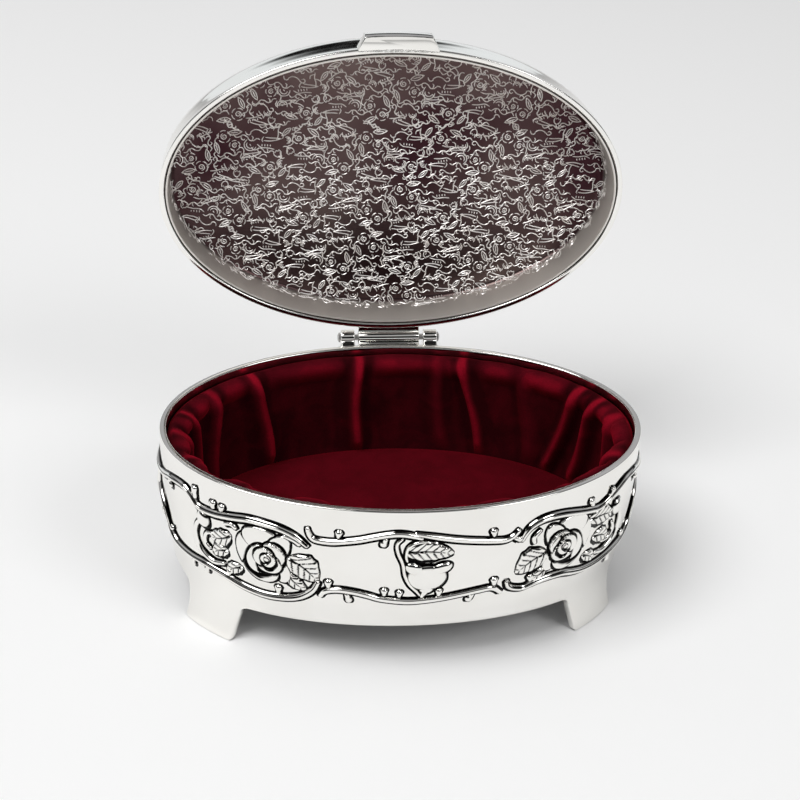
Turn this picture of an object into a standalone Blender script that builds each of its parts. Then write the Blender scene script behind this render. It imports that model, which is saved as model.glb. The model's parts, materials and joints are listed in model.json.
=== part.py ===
"""Oval footed trinket box, modelled with its lid standing open on the hinge stop.

Metres, +Z up. The origin is on the table, under the middle of the whole
outline with the lid open, so the oval body stands a little forward of it.
+X runs along the oval, -Y is the front, and the hinge is at the back, on +Y.
Heights are world heights. Places along Y are counted from the oval's middle.
"""
import math

import bmesh
import bpy
from mathutils import Matrix, Vector

# Body casting
LENGTH = 0.120
WIDTH = 0.077
RIM_HEIGHT = 0.0475
BODY_WALL = 0.0016
RIM_CHAMFER = 0.0003
COVE_INSET = 0.0024
FLOOR_UNDERSIDE = 0.0138
FLOOR_THICKNESS = 0.0016
FLOOR_FILLET = 0.0012

# The outer wall from the rim down to the foot tips: inset as a share of the
# cove's depth, then height as a share of the rim's height.
BODY_WALL_SHARES = (
    (0.00, 1.00), (0.00, 0.93), (0.00, 0.80), (0.03, 0.68), (0.12, 0.57), (0.30, 0.46),
    (0.58, 0.37), (0.86, 0.29), (1.00, 0.22), (0.94, 0.15), (0.66, 0.07), (0.22, 0.00),
)

# Cast relief on the wall. A place is two shares: along the wall from the front's
# middle to the right, 1 at the oval's end, and up to the rim. The back repeats it.
STEM_HALF_WIDTH = 0.00115
STEM_RISE = 0.00095
STEM_SINK = 0.0002
RELIEF_ROOT = 0.0005
ROSE_RADIUS = 0.0076
ROSE_RISE = 0.0015
LEAF_RISE = 0.0008
BUD_RISE = 0.0014
BACK_SHIFT = 2.0

# Routes of the stems: place, then width as a share of the widest.
STEM_SHARES = (
    ((-0.324, 0.876, 0.60), (-0.318, 0.832, 0.90), (-0.299, 0.804, 1.00), (-0.211, 0.817, 1.00),
     (-0.126, 0.853, 1.00), (-0.083, 0.869, 1.00), (-0.045, 0.874, 1.00), (-0.006, 0.859, 0.90),
     (0.026, 0.836, 0.50)),
    ((0.000, 0.872, 0.60), (0.046, 0.851, 1.00), (0.112, 0.827, 1.00), (0.180, 0.808, 1.00),
     (0.259, 0.789, 1.00), (0.296, 0.800, 0.90), (0.319, 0.842, 0.60)),
    ((0.324, 0.749, 0.50), (0.335, 0.796, 0.90), (0.358, 0.842, 1.00), (0.404, 0.872, 1.05),
     (0.471, 0.863, 1.05), (0.570, 0.821, 1.05), (0.618, 0.808, 1.05), (0.678, 0.838, 1.00),
     (0.751, 0.876, 1.00), (0.818, 0.867, 0.90), (0.894, 0.829, 0.90), (0.945, 0.813, 0.90),
     (1.000, 0.813, 0.90), (1.055, 0.808, 0.90), (1.110, 0.825, 1.00), (1.170, 0.859, 0.90),
     (1.234, 0.876, 1.00), (1.272, 0.846, 1.00), (1.304, 0.800, 1.05), (1.361, 0.804, 1.05),
     (1.429, 0.825, 1.05), (1.498, 0.848, 1.00), (1.584, 0.842, 1.00), (1.640, 0.804, 1.00),
     (1.682, 0.754, 0.50)),
    ((-0.286, 0.442, 0.60), (-0.263, 0.493, 1.00), (-0.186, 0.501, 1.00), (-0.102, 0.463, 1.00),
     (0.000, 0.446, 1.05), (0.082, 0.459, 1.00), (0.206, 0.488, 1.00), (0.248, 0.488, 1.00),
     (0.284, 0.438, 0.60)),
    ((0.293, 0.512, 0.60), (0.310, 0.467, 1.00), (0.349, 0.451, 1.05), (0.432, 0.476, 1.05),
     (0.492, 0.476, 1.05), (0.581, 0.429, 1.05), (0.645, 0.423, 1.00), (0.713, 0.434, 1.00),
     (0.792, 0.451, 1.00), (0.849, 0.488, 0.95), (0.887, 0.568, 0.90), (0.913, 0.623, 0.90),
     (0.958, 0.665, 0.80), (1.000, 0.678, 0.80), (1.042, 0.665, 0.80), (1.087, 0.623, 0.90),
     (1.113, 0.568, 0.90), (1.140, 0.497, 0.95), (1.177, 0.457, 1.00), (1.250, 0.446, 1.00),
     (1.317, 0.451, 1.00), (1.374, 0.440, 1.00), (1.463, 0.396, 1.05), (1.531, 0.379, 1.05),
     (1.599, 0.392, 1.05), (1.651, 0.423, 1.00), (1.691, 0.480, 1.00), (1.711, 0.547, 0.60)),
    ((-0.049, 0.863, 0.50), (-0.057, 0.789, 0.60), (-0.041, 0.691, 0.60), (-0.028, 0.589, 0.60),
     (0.003, 0.522, 0.60), (0.026, 0.476, 0.50)),
    ((-0.680, 0.716, 0.50), (-0.700, 0.653, 0.60), (-0.701, 0.581, 0.70), (-0.674, 0.522, 0.70),
     (-0.628, 0.497, 0.70), (-0.582, 0.509, 0.50)),
    ((0.710, 0.707, 0.50), (0.728, 0.653, 0.60), (0.728, 0.585, 0.70), (0.700, 0.526, 0.70),
     (0.654, 0.497, 0.70), (0.611, 0.509, 0.50)),
)

# Knobs on the stems: place of the root, then shares along and up to the tip.
KNOB_SHARES = (
    (-0.623, 0.817, 0.003, 0.055), (-0.705, 0.825, -0.005, 0.082), (-0.234, 0.813, 0.004, 0.053),
    (-0.091, 0.863, -0.008, -0.059), (0.235, 0.800, -0.003, 0.057), (0.586, 0.819, -0.010, 0.061),
    (0.662, 0.834, 0.018, 0.048), (-0.740, 0.446, -0.004, -0.057), (-0.672, 0.451, -0.006, -0.051),
    (-0.419, 0.398, 0.000, 0.063), (-0.259, 0.501, -0.003, 0.053), (-0.206, 0.501, 0.008, -0.059),
    (-0.091, 0.467, 0.000, 0.055), (-0.043, 0.455, 0.000, 0.051), (0.073, 0.459, 0.000, 0.053),
    (0.183, 0.480, -0.011, -0.051), (0.250, 0.493, 0.000, 0.053), (0.373, 0.461, 0.008, 0.053),
    (0.719, 0.434, 0.005, -0.059),
)

# Leaves: places of the stalk and the tip, then width as a share of the rim's height.
LEAF_SHARES = (
    (-0.391, 0.653, -0.294, 0.547, 0.152), (-0.570, 0.703, -0.651, 0.661, 0.097),
    (0.424, 0.644, 0.322, 0.560, 0.152), (0.585, 0.745, 0.695, 0.720, 0.109),
    (-0.028, 0.762, 0.110, 0.745, 0.114), (0.608, 0.615, 0.677, 0.568, 0.088),
)

# Buds: place, then half length along the wall and half height. Roses: place.
BUD_SHARES = ((0.037, 0.608, 0.059, 0.076), (-0.680, 0.724, 0.022, 0.042), (0.714, 0.720, 0.020, 0.042))
ROSE_SHARES = ((-0.453, 0.636), (0.496, 0.657))

# A rose from its edge to its heart: share of the radius, then share of the rise.
ROSE_RING_SHARES = (
    (0.93, 0.45), (0.70, 0.40), (0.66, 0.85), (0.42, 0.55), (0.37, 1.00), (0.18, 0.70), (0.04, 1.00),
)

# Openings between the feet
EDGE_HEIGHT = 0.0120
EDGE_FALL = 0.0013
ARCH_CORNER = 0.0025
FRONT_ARCH_FOOT_HALF = 0.0435
FRONT_ARCH_TOP_HALF = 0.0410
SIDE_ARCH_FOOT_HALF = 0.0150
SIDE_ARCH_TOP_HALF = 0.0135
CUT_OVERRUN = 0.004

# Lid casting, heights counted from the plane that meets the rim
LID_WALL = 0.0014
LID_HEIGHT = 0.0195
LID_SHOULDER_INSET = 0.0080
LID_CHAMFER = 0.0002
LID_GAP = 0.0003
OPEN_ANGLE_DEG = 93.0

# The lid's outside from its edge up to the dome: inset as a share of the
# shoulder's width, then height as a share of the lid's height.
LID_WALL_SHARES = (
    (0.02, 0.03), (0.05, 0.57), (0.16, 0.68), (0.40, 0.765), (0.70, 0.81), (1.00, 0.84),
)
DOME_RING_SHARES = (0.85, 0.66, 0.45, 0.22)

# Thumb tab on the front of the lid
TAB_REACH = 0.0031
TAB_THICKNESS = 0.0040
TAB_ROOT_HALF = 0.0105
TAB_TIP_HALF = 0.0085

# Embossed liner plate pressed into the lid
PLATE_THICKNESS = 0.0005
PLATE_DEPTH = 0.0114
PLATE_MOUTH_CLEARANCE = 0.0003
PLATE_WALL_LEAN = 0.0004
PLATE_CORNER = 0.0014
PLATE_RECESS = 0.0003

# Hinge
HINGE_SETBACK = 0.0027
HINGE_RISE = 0.0006
BODY_KNUCKLE_RADIUS = 0.0021
LID_KNUCKLE_RADIUS = 0.0018
LID_KNUCKLE_LENGTH = 0.0163
KNUCKLE_GAP = 0.0011
BODY_KNUCKLE_LENGTH = 0.0037
KNUCKLE_BRACKET_DROP = 0.0068
KNUCKLE_SHELF_DROP = 0.0005
STOP_HEEL_DROP = 0.0036
STOP_GAP = 0.0003
LEAF_BED = 0.0010
PIN_RADIUS = 0.0008
PIN_CLEARANCE = 0.0002
PIN_HEAD_RADIUS = 0.0013
PIN_HEAD_LENGTH = 0.0006

# Lining of the body
FIT_GAP = 0.0003
WALL_CARD_THICKNESS = 0.0005
WALL_WADDING_THICKNESS = 0.0010
VELVET_THICKNESS = 0.0010
LINING_TOP_DROP = 0.0014
ROLL_HEIGHT = 0.0030
ROLL_BULGE = 0.0012
FOLD_DEPTH = 0.0026
FLOOR_CARD_THICKNESS = 0.0006
FLOOR_WADDING_THICKNESS = 0.0008
FLOOR_VELVET_THICKNESS = 0.0008
FLOOR_CROWN = 0.0006
FELT_THICKNESS = 0.0008
FELT_EDGE_CLEARANCE = 0.0010

# Main gathers of the velvet wall: place round the oval in degrees from +X,
# lean in degrees from floor to rim, half width in degrees, depth share.
FOLD_SHARES = (
    (6, 4, 5, 0.75), (24, -6, 3.5, 1.00), (35, -7, 3.5, 0.95), (50, 3, 6, 0.40),
    (67, 5, 3.5, 0.80), (97, -1, 3.0, 0.95), (127, 1, 3.0, 0.90), (152, -3, 4, 0.70),
    (171, 2, 5, 0.95), (190, -3, 5, 0.85), (213, 2, 4, 0.80), (238, -2, 5, 0.70),
    (262, 1, 4, 0.55), (288, -2, 5, 0.75), (312, 2, 4, 0.60), (338, -2, 5, 0.80),
)

# Where the strips inside the wall follow its curve, up to the velvet's roll
STRIP_SHARES = (0.0, 0.20, 0.50)

SEGMENTS = 72
VELVET_SEGMENTS = 96
ROUND_STEPS = 24
STEM_SIDES = 6
ROSE_SIDES = 20
LEAF_STEPS = 5

HALF_LENGTH = LENGTH / 2
HALF_WIDTH = WIDTH / 2
HINGE_Y = HALF_WIDTH + HINGE_SETBACK
HINGE_Z = RIM_HEIGHT + HINGE_RISE
OPEN_ANGLE = math.radians(OPEN_ANGLE_DEG)
FLOOR_TOP = FLOOR_UNDERSIDE + FLOOR_THICKNESS
LINING_TOP = RIM_HEIGHT - LINING_TOP_DROP
LINING_FOOT = FLOOR_TOP + FLOOR_FILLET
LINING_SHOULDER = LINING_TOP - ROLL_HEIGHT
FLOOR_CARD_FOOT = FLOOR_TOP + FIT_GAP


def clear_scene():
    """Remove what a new file or an earlier run left behind."""
    for found in list(bpy.data.objects):
        bpy.data.objects.remove(found, do_unlink=True)
    for found in list(bpy.data.collections):
        bpy.data.collections.remove(found)


def new_collection(name):
    made = bpy.data.collections.new(name)
    bpy.context.scene.collection.children.link(made)
    return made


def new_material(name, colour, roughness, metallic):
    """A Principled material with one plain colour."""
    made = bpy.data.materials.new(name)
    made.use_nodes = True
    shader = made.node_tree.nodes["Principled BSDF"]
    shader.inputs["Base Color"].default_value = (*colour, 1.0)
    shader.inputs["Roughness"].default_value = roughness
    shader.inputs["Metallic"].default_value = metallic
    return made


def share_curve(shares, across, up):
    """An outline in shares turned into real insets and heights."""
    return [(inset * across, height * up) for inset, height in shares]


def inset_at(height):
    """How far the body's outer wall lies inside the rim's oval at a height."""
    points = share_curve(BODY_WALL_SHARES, COVE_INSET, RIM_HEIGHT)
    for (inset_above, above), (inset_below, below) in zip(points, points[1:]):
        if height >= below:
            share = (height - below) / (above - below)
            return inset_below + share * (inset_above - inset_below)
    return points[-1][0]


def cup_inset(height):
    """The inside face of the cast wall."""
    return inset_at(height) + BODY_WALL


def oval_y(x, outset=0.0):
    """Half width of the oval at a place along it."""
    along = x / (HALF_LENGTH + outset)
    return (HALF_WIDTH + outset) * math.sqrt(1.0 - along * along)


def oval_ring(inset, height, segments=SEGMENTS, shrink=1.0):
    """Points round the oval, drawn in by an inset and then towards its middle."""
    ring = []
    for step in range(segments):
        angle = math.tau * step / segments
        x = (HALF_LENGTH - inset) * shrink * math.cos(angle)
        y = (HALF_WIDTH - inset) * shrink * math.sin(angle)
        ring.append(Vector((x, y, height)))
    return ring


def add_loft(shape, rings, closed=False):
    """Faces through rings of points, joined end to end or with their ends capped."""
    loops = [[shape.verts.new(point) for point in ring] for ring in rings]
    pairs = list(zip(loops, loops[1:]))
    if closed:
        pairs.append((loops[-1], loops[0]))
    else:
        shape.faces.new(loops[0])
        shape.faces.new(loops[-1])
    for lower, upper in pairs:
        for here in range(len(lower)):
            there = (here + 1) % len(lower)
            shape.faces.new((lower[here], lower[there], upper[there], upper[here]))


def loft(name, *ring_sets, closed=False):
    """A mesh of one or more lofts."""
    mesh = bpy.data.meshes.new(name)
    shape = bmesh.new()
    for rings in ring_sets:
        add_loft(shape, rings, closed)
    bmesh.ops.recalc_face_normals(shape, faces=shape.faces)
    shape.to_mesh(mesh)
    shape.free()
    return mesh


def prism(name, outline, start, end):
    """A flat outline extruded from one shift of it to another."""
    mesh = bpy.data.meshes.new(name)
    shape = bmesh.new()
    base = shape.faces.new([shape.verts.new(point + start) for point in outline])
    pushed = bmesh.ops.extrude_face_region(shape, geom=[base])
    moved = [item for item in pushed["geom"] if isinstance(item, bmesh.types.BMVert)]
    bmesh.ops.translate(shape, verts=moved, vec=end - start)
    bmesh.ops.recalc_face_normals(shape, faces=shape.faces)
    shape.to_mesh(mesh)
    shape.free()
    return mesh


def cylinder(name, radius, length):
    """A round bar along X, centred on the origin."""
    mesh = bpy.data.meshes.new(name)
    shape = bmesh.new()
    bmesh.ops.create_cone(shape, cap_ends=True, segments=ROUND_STEPS, radius1=radius,
                          radius2=radius, depth=length, matrix=Matrix.Rotation(math.pi / 2, 4, "Y"))
    shape.to_mesh(mesh)
    shape.free()
    return mesh


def place(mesh, collection, parent, material=None, location=(0.0, 0.0, 0.0)):
    """Put a mesh in the scene as one object, under the empty that carries it."""
    made = bpy.data.objects.new(mesh.name, mesh)
    collection.objects.link(made)
    made.location = location
    made.parent = parent
    if material:
        mesh.materials.append(material)
    return made


def as_cutter(tool):
    tool.hide_render = True
    tool.display_type = "WIRE"
    return tool


def combine(target, tool, operation):
    """Leave a live Boolean on the target."""
    step = target.modifiers.new(tool.name, "BOOLEAN")
    step.operation = operation
    step.solver = "EXACT"
    step.object = as_cutter(tool)
    return step


def smooth(piece, angle_deg=35.0):
    piece.data.shade_smooth()
    piece.data.set_sharp_from_angle(angle=math.radians(angle_deg))


def arch_outline(foot_half, top_half, turn):
    """One opening between two feet, drawn across and up, highest in the middle."""
    top = EDGE_HEIGHT - EDGE_FALL
    points = [(foot_half, -CUT_OVERRUN), (foot_half, 0.0)]
    steps = 5
    for step in range(steps + 1):
        angle = math.pi / 2 * step / steps
        across = top_half - ARCH_CORNER + ARCH_CORNER * math.cos(angle)
        points.append((across, top - ARCH_CORNER + ARCH_CORNER * math.sin(angle)))
    inner = top_half - ARCH_CORNER
    for share in (0.75, 0.5, 0.25):
        points.append((inner * share, EDGE_HEIGHT - EDGE_FALL * share * share))
    mirrored = [(-across, up) for across, up in reversed(points)]
    outline = points + [(0.0, EDGE_HEIGHT)] + mirrored
    return [turn(across, up) for across, up in outline]


def body_profile_rings():
    """The casting from the middle of its floor, up the cup, over the rim and down to the feet."""
    fillet_top = FLOOR_TOP + FLOOR_FILLET
    rings = [(cup_inset(fillet_top) + FLOOR_FILLET, FLOOR_TOP)]
    rings.append((cup_inset(fillet_top), fillet_top))
    outer = share_curve(BODY_WALL_SHARES, COVE_INSET, RIM_HEIGHT)
    for inset, height in reversed(outer[1:]):
        if height > fillet_top:
            rings.append((inset + BODY_WALL, height))
    rings.append((BODY_WALL, RIM_HEIGHT - RIM_CHAMFER))
    rings.append((BODY_WALL - RIM_CHAMFER, RIM_HEIGHT))
    rings.append((RIM_CHAMFER, RIM_HEIGHT))
    rings.append((0.0, RIM_HEIGHT - RIM_CHAMFER))
    rings += outer[1:]
    for inset, height in reversed(outer):
        if height < FLOOR_UNDERSIDE:
            rings.append((inset + BODY_WALL, height))
    rings.append((cup_inset(FLOOR_UNDERSIDE), FLOOR_UNDERSIDE))
    return [oval_ring(inset, height) for inset, height in rings]


def body_knuckle_outline():
    """A knuckle and its bracket, seen along X: round at the pin, running down onto the wall."""
    outer_end = LID_KNUCKLE_LENGTH / 2 + KNUCKLE_GAP + BODY_KNUCKLE_LENGTH
    root = oval_y(outer_end) - BODY_WALL / 2
    shelf = RIM_HEIGHT - KNUCKLE_SHELF_DROP
    points = [(root, RIM_HEIGHT - KNUCKLE_BRACKET_DROP), (root, shelf)]
    points.append((HINGE_Y - BODY_KNUCKLE_RADIUS, shelf))
    steps = ROUND_STEPS // 2
    for step in range(steps + 1):
        angle = math.pi - math.pi * step / steps
        y = HINGE_Y + BODY_KNUCKLE_RADIUS * math.cos(angle)
        points.append((y, HINGE_Z + BODY_KNUCKLE_RADIUS * math.sin(angle)))
    points.append((HINGE_Y + BODY_KNUCKLE_RADIUS, shelf))
    return [Vector((0.0, y, z)) for y, z in points]


def wall_lengths(steps=720):
    """Lengths along the rim's oval from the front's middle, at even steps of the angle."""
    ring = oval_ring(0.0, 0.0, steps)
    lengths = [0.0]
    for step in range(steps):
        here = ring[(steps * 3 // 4 + step) % steps]
        there = ring[(steps * 3 // 4 + step + 1) % steps]
        lengths.append(lengths[-1] + (there - here).length)
    return lengths


WALL_LENGTHS = wall_lengths()
QUARTER_LENGTH = WALL_LENGTHS[-1] / 4


def wall_angle(along):
    """The oval's angle at a share along the wall from the front's middle."""
    wanted = along * QUARTER_LENGTH % WALL_LENGTHS[-1]
    step = 0
    while WALL_LENGTHS[step + 1] < wanted:
        step += 1
    part = (wanted - WALL_LENGTHS[step]) / (WALL_LENGTHS[step + 1] - WALL_LENGTHS[step])
    return -math.pi / 2 + math.tau * (step + part) / (len(WALL_LENGTHS) - 1)


def wall_point(along, up, out):
    """A place on the body's wall in shares, moved out from it."""
    angle = wall_angle(along)
    length = HALF_LENGTH - inset_at(up * RIM_HEIGHT)
    width = HALF_WIDTH - inset_at(up * RIM_HEIGHT)
    outward = Vector((math.cos(angle) / length, math.sin(angle) / width, 0.0)).normalized()
    return Vector((length * math.cos(angle), width * math.sin(angle), up * RIM_HEIGHT)) + outward * out


def wall_offset(along, up, right, above, out):
    """A place on the wall in shares, moved by real distances along it, up it and out."""
    return wall_point(along + right / QUARTER_LENGTH, up + above / RIM_HEIGHT, out)


def smooth_route(points, steps=2):
    """A few more points between those given, on a smooth curve through them."""
    knots = [Vector(point) for point in points]
    ends = [2 * knots[0] - knots[1]] + knots + [2 * knots[-1] - knots[-2]]
    route = []
    for before, here, there, after in zip(ends, ends[1:], ends[2:], ends[3:]):
        for step in range(steps):
            t = step / steps
            bend = 2 * before - 5 * here + 4 * there - after
            twist = 3 * here - before - 3 * there + after
            route.append(0.5 * (2 * here + (there - before) * t + bend * t * t + twist * t ** 3))
    return route + [knots[-1]]


def stem_rings(points, shift):
    """Rings of one stem, a flattened tube that is half sunk in the wall."""
    route = smooth_route(points)
    rings = []
    for index, knot in enumerate(route):
        ahead, behind = route[min(index + 1, len(route) - 1)], route[max(index - 1, 0)]
        run = Vector(((ahead.x - behind.x) * QUARTER_LENGTH, (ahead.y - behind.y) * RIM_HEIGHT)).normalized()
        ring = []
        for step in range(STEM_SIDES):
            angle = math.tau * step / STEM_SIDES
            across = STEM_HALF_WIDTH * knot.z * math.cos(angle)
            out = STEM_RISE * knot.z * math.sin(angle) - STEM_SINK
            ring.append(wall_offset(knot.x + shift, knot.y, -run.y * across, run.x * across, out))
        rings.append(ring)
    return rings


def mound_rings(place_ring, ring_shares, rise):
    """Rings of a low mound on the wall, from its root in the wall to its middle."""
    rings = [place_ring(ring_shares[0][0], -RELIEF_ROOT)]
    return rings + [place_ring(size, level * rise) for size, level in ring_shares]


def rose_rings(along, up, shift):
    """Rings of one rose: tiers of five petals round a raised heart."""
    def ring_at(size, out):
        ring = []
        for step in range(ROSE_SIDES):
            angle = math.tau * step / ROSE_SIDES
            reach = ROSE_RADIUS * size * (1.0 + 0.06 * math.cos(5 * angle + 9 * size))
            ring.append(wall_offset(along + shift, up, reach * math.cos(angle), reach * math.sin(angle), out))
        return ring
    return mound_rings(ring_at, ROSE_RING_SHARES, ROSE_RISE)


def leaf_rings(stalk, stalk_up, tip, tip_up, width, shift):
    """Rings of one pointed leaf."""
    run = Vector(((tip - stalk) * QUARTER_LENGTH, (tip_up - stalk_up) * RIM_HEIGHT))
    side = Vector((-run.y, run.x)).normalized() * width * RIM_HEIGHT / 2

    def ring_at(size, out):
        ring = []
        for step in range(2 * LEAF_STEPS):
            turn = math.pi * step / LEAF_STEPS
            spot = run * (0.5 - 0.5 * size * math.cos(turn)) + side * size * math.sin(turn)
            ring.append(wall_offset(stalk + shift, stalk_up, spot.x, spot.y, out))
        return ring
    return mound_rings(ring_at, ((0.96, 0.6), (0.55, 1.0), (0.05, 0.9)), LEAF_RISE)


def bud_rings(along, up, half_along, half_up, shift):
    """Rings of one round bud."""
    def ring_at(size, out):
        ring = []
        for step in range(2 * LEAF_STEPS):
            angle = math.tau * step / (2 * LEAF_STEPS)
            right = half_along * QUARTER_LENGTH * size * math.cos(angle)
            ring.append(wall_offset(along + shift, up, right, half_up * RIM_HEIGHT * size * math.sin(angle), out))
        return ring
    return mound_rings(ring_at, ((0.95, 0.5), (0.6, 0.9), (0.05, 1.0)), BUD_RISE)


def relief_ring_sets():
    """The main forms of the cast relief by kind, on the front and again on the back."""
    stems, knobs, leaves, blooms = [], [], [], []
    for shift in (0.0, BACK_SHIFT):
        stems += [stem_rings(points, shift) for points in STEM_SHARES]
        for along, up, right, above in KNOB_SHARES:
            middle = (along + right / 2, up + above / 2, 0.55)
            knobs.append(stem_rings(((along, up, 0.6), middle, (along + right, up + above, 0.7)), shift))
        leaves += [leaf_rings(*leaf, shift) for leaf in LEAF_SHARES]
        blooms += [bud_rings(*bud, shift) for bud in BUD_SHARES]
        blooms += [rose_rings(*rose, shift) for rose in ROSE_SHARES]
    return {"relief_stems": stems, "relief_knobs": knobs, "relief_leaves": leaves, "relief_blooms": blooms}


def make_body(parts, cutters, metal, centre, relief):
    """The cast body: cup, floor, four bracket feet, relief and the two outer hinge knuckles."""
    body = place(loft("body_casting", body_profile_rings()), parts, centre, metal)
    for name, ring_sets in relief.items():
        combine(body, place(loft(name, *ring_sets), cutters, centre), "UNION").use_self = True
    reach = Vector((0.0, HALF_WIDTH + CUT_OVERRUN, 0.0))
    front = arch_outline(FRONT_ARCH_FOOT_HALF, FRONT_ARCH_TOP_HALF, lambda a, up: Vector((a, 0.0, up)))
    combine(body, place(prism("front_arch", front, -reach, reach), cutters, centre), "DIFFERENCE")
    reach = Vector((HALF_LENGTH + CUT_OVERRUN, 0.0, 0.0))
    side = arch_outline(SIDE_ARCH_FOOT_HALF, SIDE_ARCH_TOP_HALF, lambda a, up: Vector((0.0, a, up)))
    combine(body, place(prism("side_arch", side, -reach, reach), cutters, centre), "DIFFERENCE")
    inner_end = Vector((LID_KNUCKLE_LENGTH / 2 + KNUCKLE_GAP, 0.0, 0.0))
    outer_end = inner_end + Vector((BODY_KNUCKLE_LENGTH, 0.0, 0.0))
    outline = body_knuckle_outline()
    for side_name, sign in (("left", -1), ("right", 1)):
        mesh = prism(side_name + "_knuckle", outline, sign * inner_end, sign * outer_end)
        combine(body, place(mesh, cutters, centre), "UNION")
    bore = cylinder("body_pin_bore", PIN_RADIUS + PIN_CLEARANCE, 2 * outer_end.x + CUT_OVERRUN)
    combine(body, place(bore, cutters, centre, location=(0.0, HINGE_Y, HINGE_Z)), "DIFFERENCE")
    smooth(body)
    return body


def lid_outside():
    """Insets, heights and shrinks of the lid's outer rings, from its edge to the dome's top."""
    rings = [(LID_CHAMFER, 0.0, 1.0), (0.0, LID_CHAMFER, 1.0)]
    shoulder = share_curve(LID_WALL_SHARES, LID_SHOULDER_INSET, LID_HEIGHT)
    rings += [(inset, height, 1.0) for inset, height in shoulder[1:]]
    dome_foot = shoulder[-1][1]
    for share in DOME_RING_SHARES:
        height = LID_HEIGHT - (LID_HEIGHT - dome_foot) * share * share
        rings.append((LID_SHOULDER_INSET, height, share))
    return rings


def lid_casting_rings():
    """The lid from the top of its hollow, down inside, over its edge and up to the dome."""
    outside = lid_outside()
    inside = [(LID_WALL - LID_CHAMFER, 0.0, 1.0), (LID_WALL, LID_CHAMFER, 1.0)]
    for inset, height, shrink in outside[2:]:
        drop = LID_WALL * inset / LID_SHOULDER_INSET
        inside.append((inset + LID_WALL, height - drop, shrink))
    ordered = list(reversed(inside)) + outside
    return [oval_ring(inset, height, shrink=shrink) for inset, height, shrink in ordered]


def to_closed(y, z):
    """A place about the hinge with the lid open, carried to where it is with the lid shut."""
    turned = Matrix.Rotation(OPEN_ANGLE, 3, "X") @ Vector((0.0, y, z))
    return Vector((0.0, turned.y, turned.z))


def lid_knuckle_outline():
    """The stop heel, seen along X about the hinge, flat against the body's wall when open."""
    face = -(HINGE_SETBACK - STOP_GAP)
    upper = -HINGE_RISE
    return [to_closed(face, upper), to_closed(0.0, LID_KNUCKLE_RADIUS / 2),
            to_closed(LID_KNUCKLE_RADIUS / 2, -LID_KNUCKLE_RADIUS / 2),
            to_closed(0.0, -STOP_HEEL_DROP), to_closed(face, -STOP_HEEL_DROP)]


def tab_outline(lid_y):
    """The thumb tab from above: sides drawn in to a tip that follows the oval."""
    points = []
    steps = 8
    for step in range(steps + 1):
        x = TAB_TIP_HALF * (2 * step / steps - 1)
        points.append(Vector((x, lid_y - oval_y(x, TAB_REACH), 0.0)))
    root_y = lid_y - oval_y(TAB_ROOT_HALF) + LID_WALL / 2
    points.append(Vector((TAB_ROOT_HALF, root_y, 0.0)))
    points.append(Vector((-TAB_ROOT_HALF, root_y, 0.0)))
    return points


def make_lid(parts, cutters, metal, hinge):
    """The cast lid about its hinge: dished cover, thumb tab, leaf, knuckle and stop heel."""
    lid_y = -HINGE_Y
    lid_z = RIM_HEIGHT + LID_GAP - HINGE_Z
    shift = Vector((0.0, lid_y, lid_z))
    rings = [[point + shift for point in ring] for ring in lid_casting_rings()]
    lid = place(loft("lid_casting", rings), parts, hinge, metal)
    tab_foot = Vector((0.0, 0.0, lid_z))
    tab_head = Vector((0.0, 0.0, lid_z + TAB_THICKNESS))
    tab = prism("thumb_tab", tab_outline(lid_y), tab_foot, tab_head)
    combine(lid, place(tab, cutters, hinge), "UNION")
    half = Vector((LID_KNUCKLE_LENGTH / 2, 0.0, 0.0))
    leaf_front = -(HINGE_SETBACK + LEAF_BED)
    leaf = [Vector((0.0, leaf_front, 0.0)), Vector((0.0, 0.0, 0.0)),
            Vector((0.0, 0.0, LID_KNUCKLE_RADIUS)), Vector((0.0, leaf_front, LID_KNUCKLE_RADIUS))]
    combine(lid, place(prism("hinge_leaf", leaf, -half, half), cutters, hinge), "UNION")
    heel = prism("stop_heel", lid_knuckle_outline(), -half, half)
    combine(lid, place(heel, cutters, hinge), "UNION")
    barrel = cylinder("lid_knuckle", LID_KNUCKLE_RADIUS, LID_KNUCKLE_LENGTH)
    combine(lid, place(barrel, cutters, hinge), "UNION")
    bore = cylinder("lid_pin_bore", PIN_RADIUS + PIN_CLEARANCE, LID_KNUCKLE_LENGTH + CUT_OVERRUN)
    combine(lid, place(bore, cutters, hinge), "DIFFERENCE")
    smooth(lid)
    return lid


def make_plate(parts, metal, hinge):
    """The thin embossed plate: a shallow oval dish whose wall leans in to a flat field."""
    shift = Vector((0.0, -HINGE_Y, RIM_HEIGHT + LID_GAP - HINGE_Z))
    mouth = LID_WALL + PLATE_MOUTH_CLEARANCE
    field = PLATE_DEPTH + PLATE_THICKNESS
    back = [(mouth, PLATE_RECESS), (mouth + PLATE_WALL_LEAN, field - PLATE_CORNER)]
    back += [(mouth + PLATE_WALL_LEAN + PLATE_CORNER / 3, field - PLATE_CORNER / 3)]
    back += [(mouth + PLATE_WALL_LEAN + PLATE_CORNER, field)]
    front = [(mouth + PLATE_WALL_LEAN + PLATE_CORNER, PLATE_DEPTH)]
    front += [(mouth + PLATE_WALL_LEAN + PLATE_THICKNESS + PLATE_CORNER / 3, PLATE_DEPTH - PLATE_CORNER / 3)]
    front += [(mouth + PLATE_WALL_LEAN + PLATE_THICKNESS, PLATE_DEPTH - PLATE_CORNER)]
    front += [(mouth + PLATE_THICKNESS, PLATE_RECESS)]
    rings = []
    for inset, height in list(reversed(back)) + list(reversed(front)):
        rings.append([point + shift for point in oval_ring(inset, height)])
    plate = place(loft("lid_liner_plate", rings), parts, hinge, metal)
    smooth(plate)
    return plate


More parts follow.
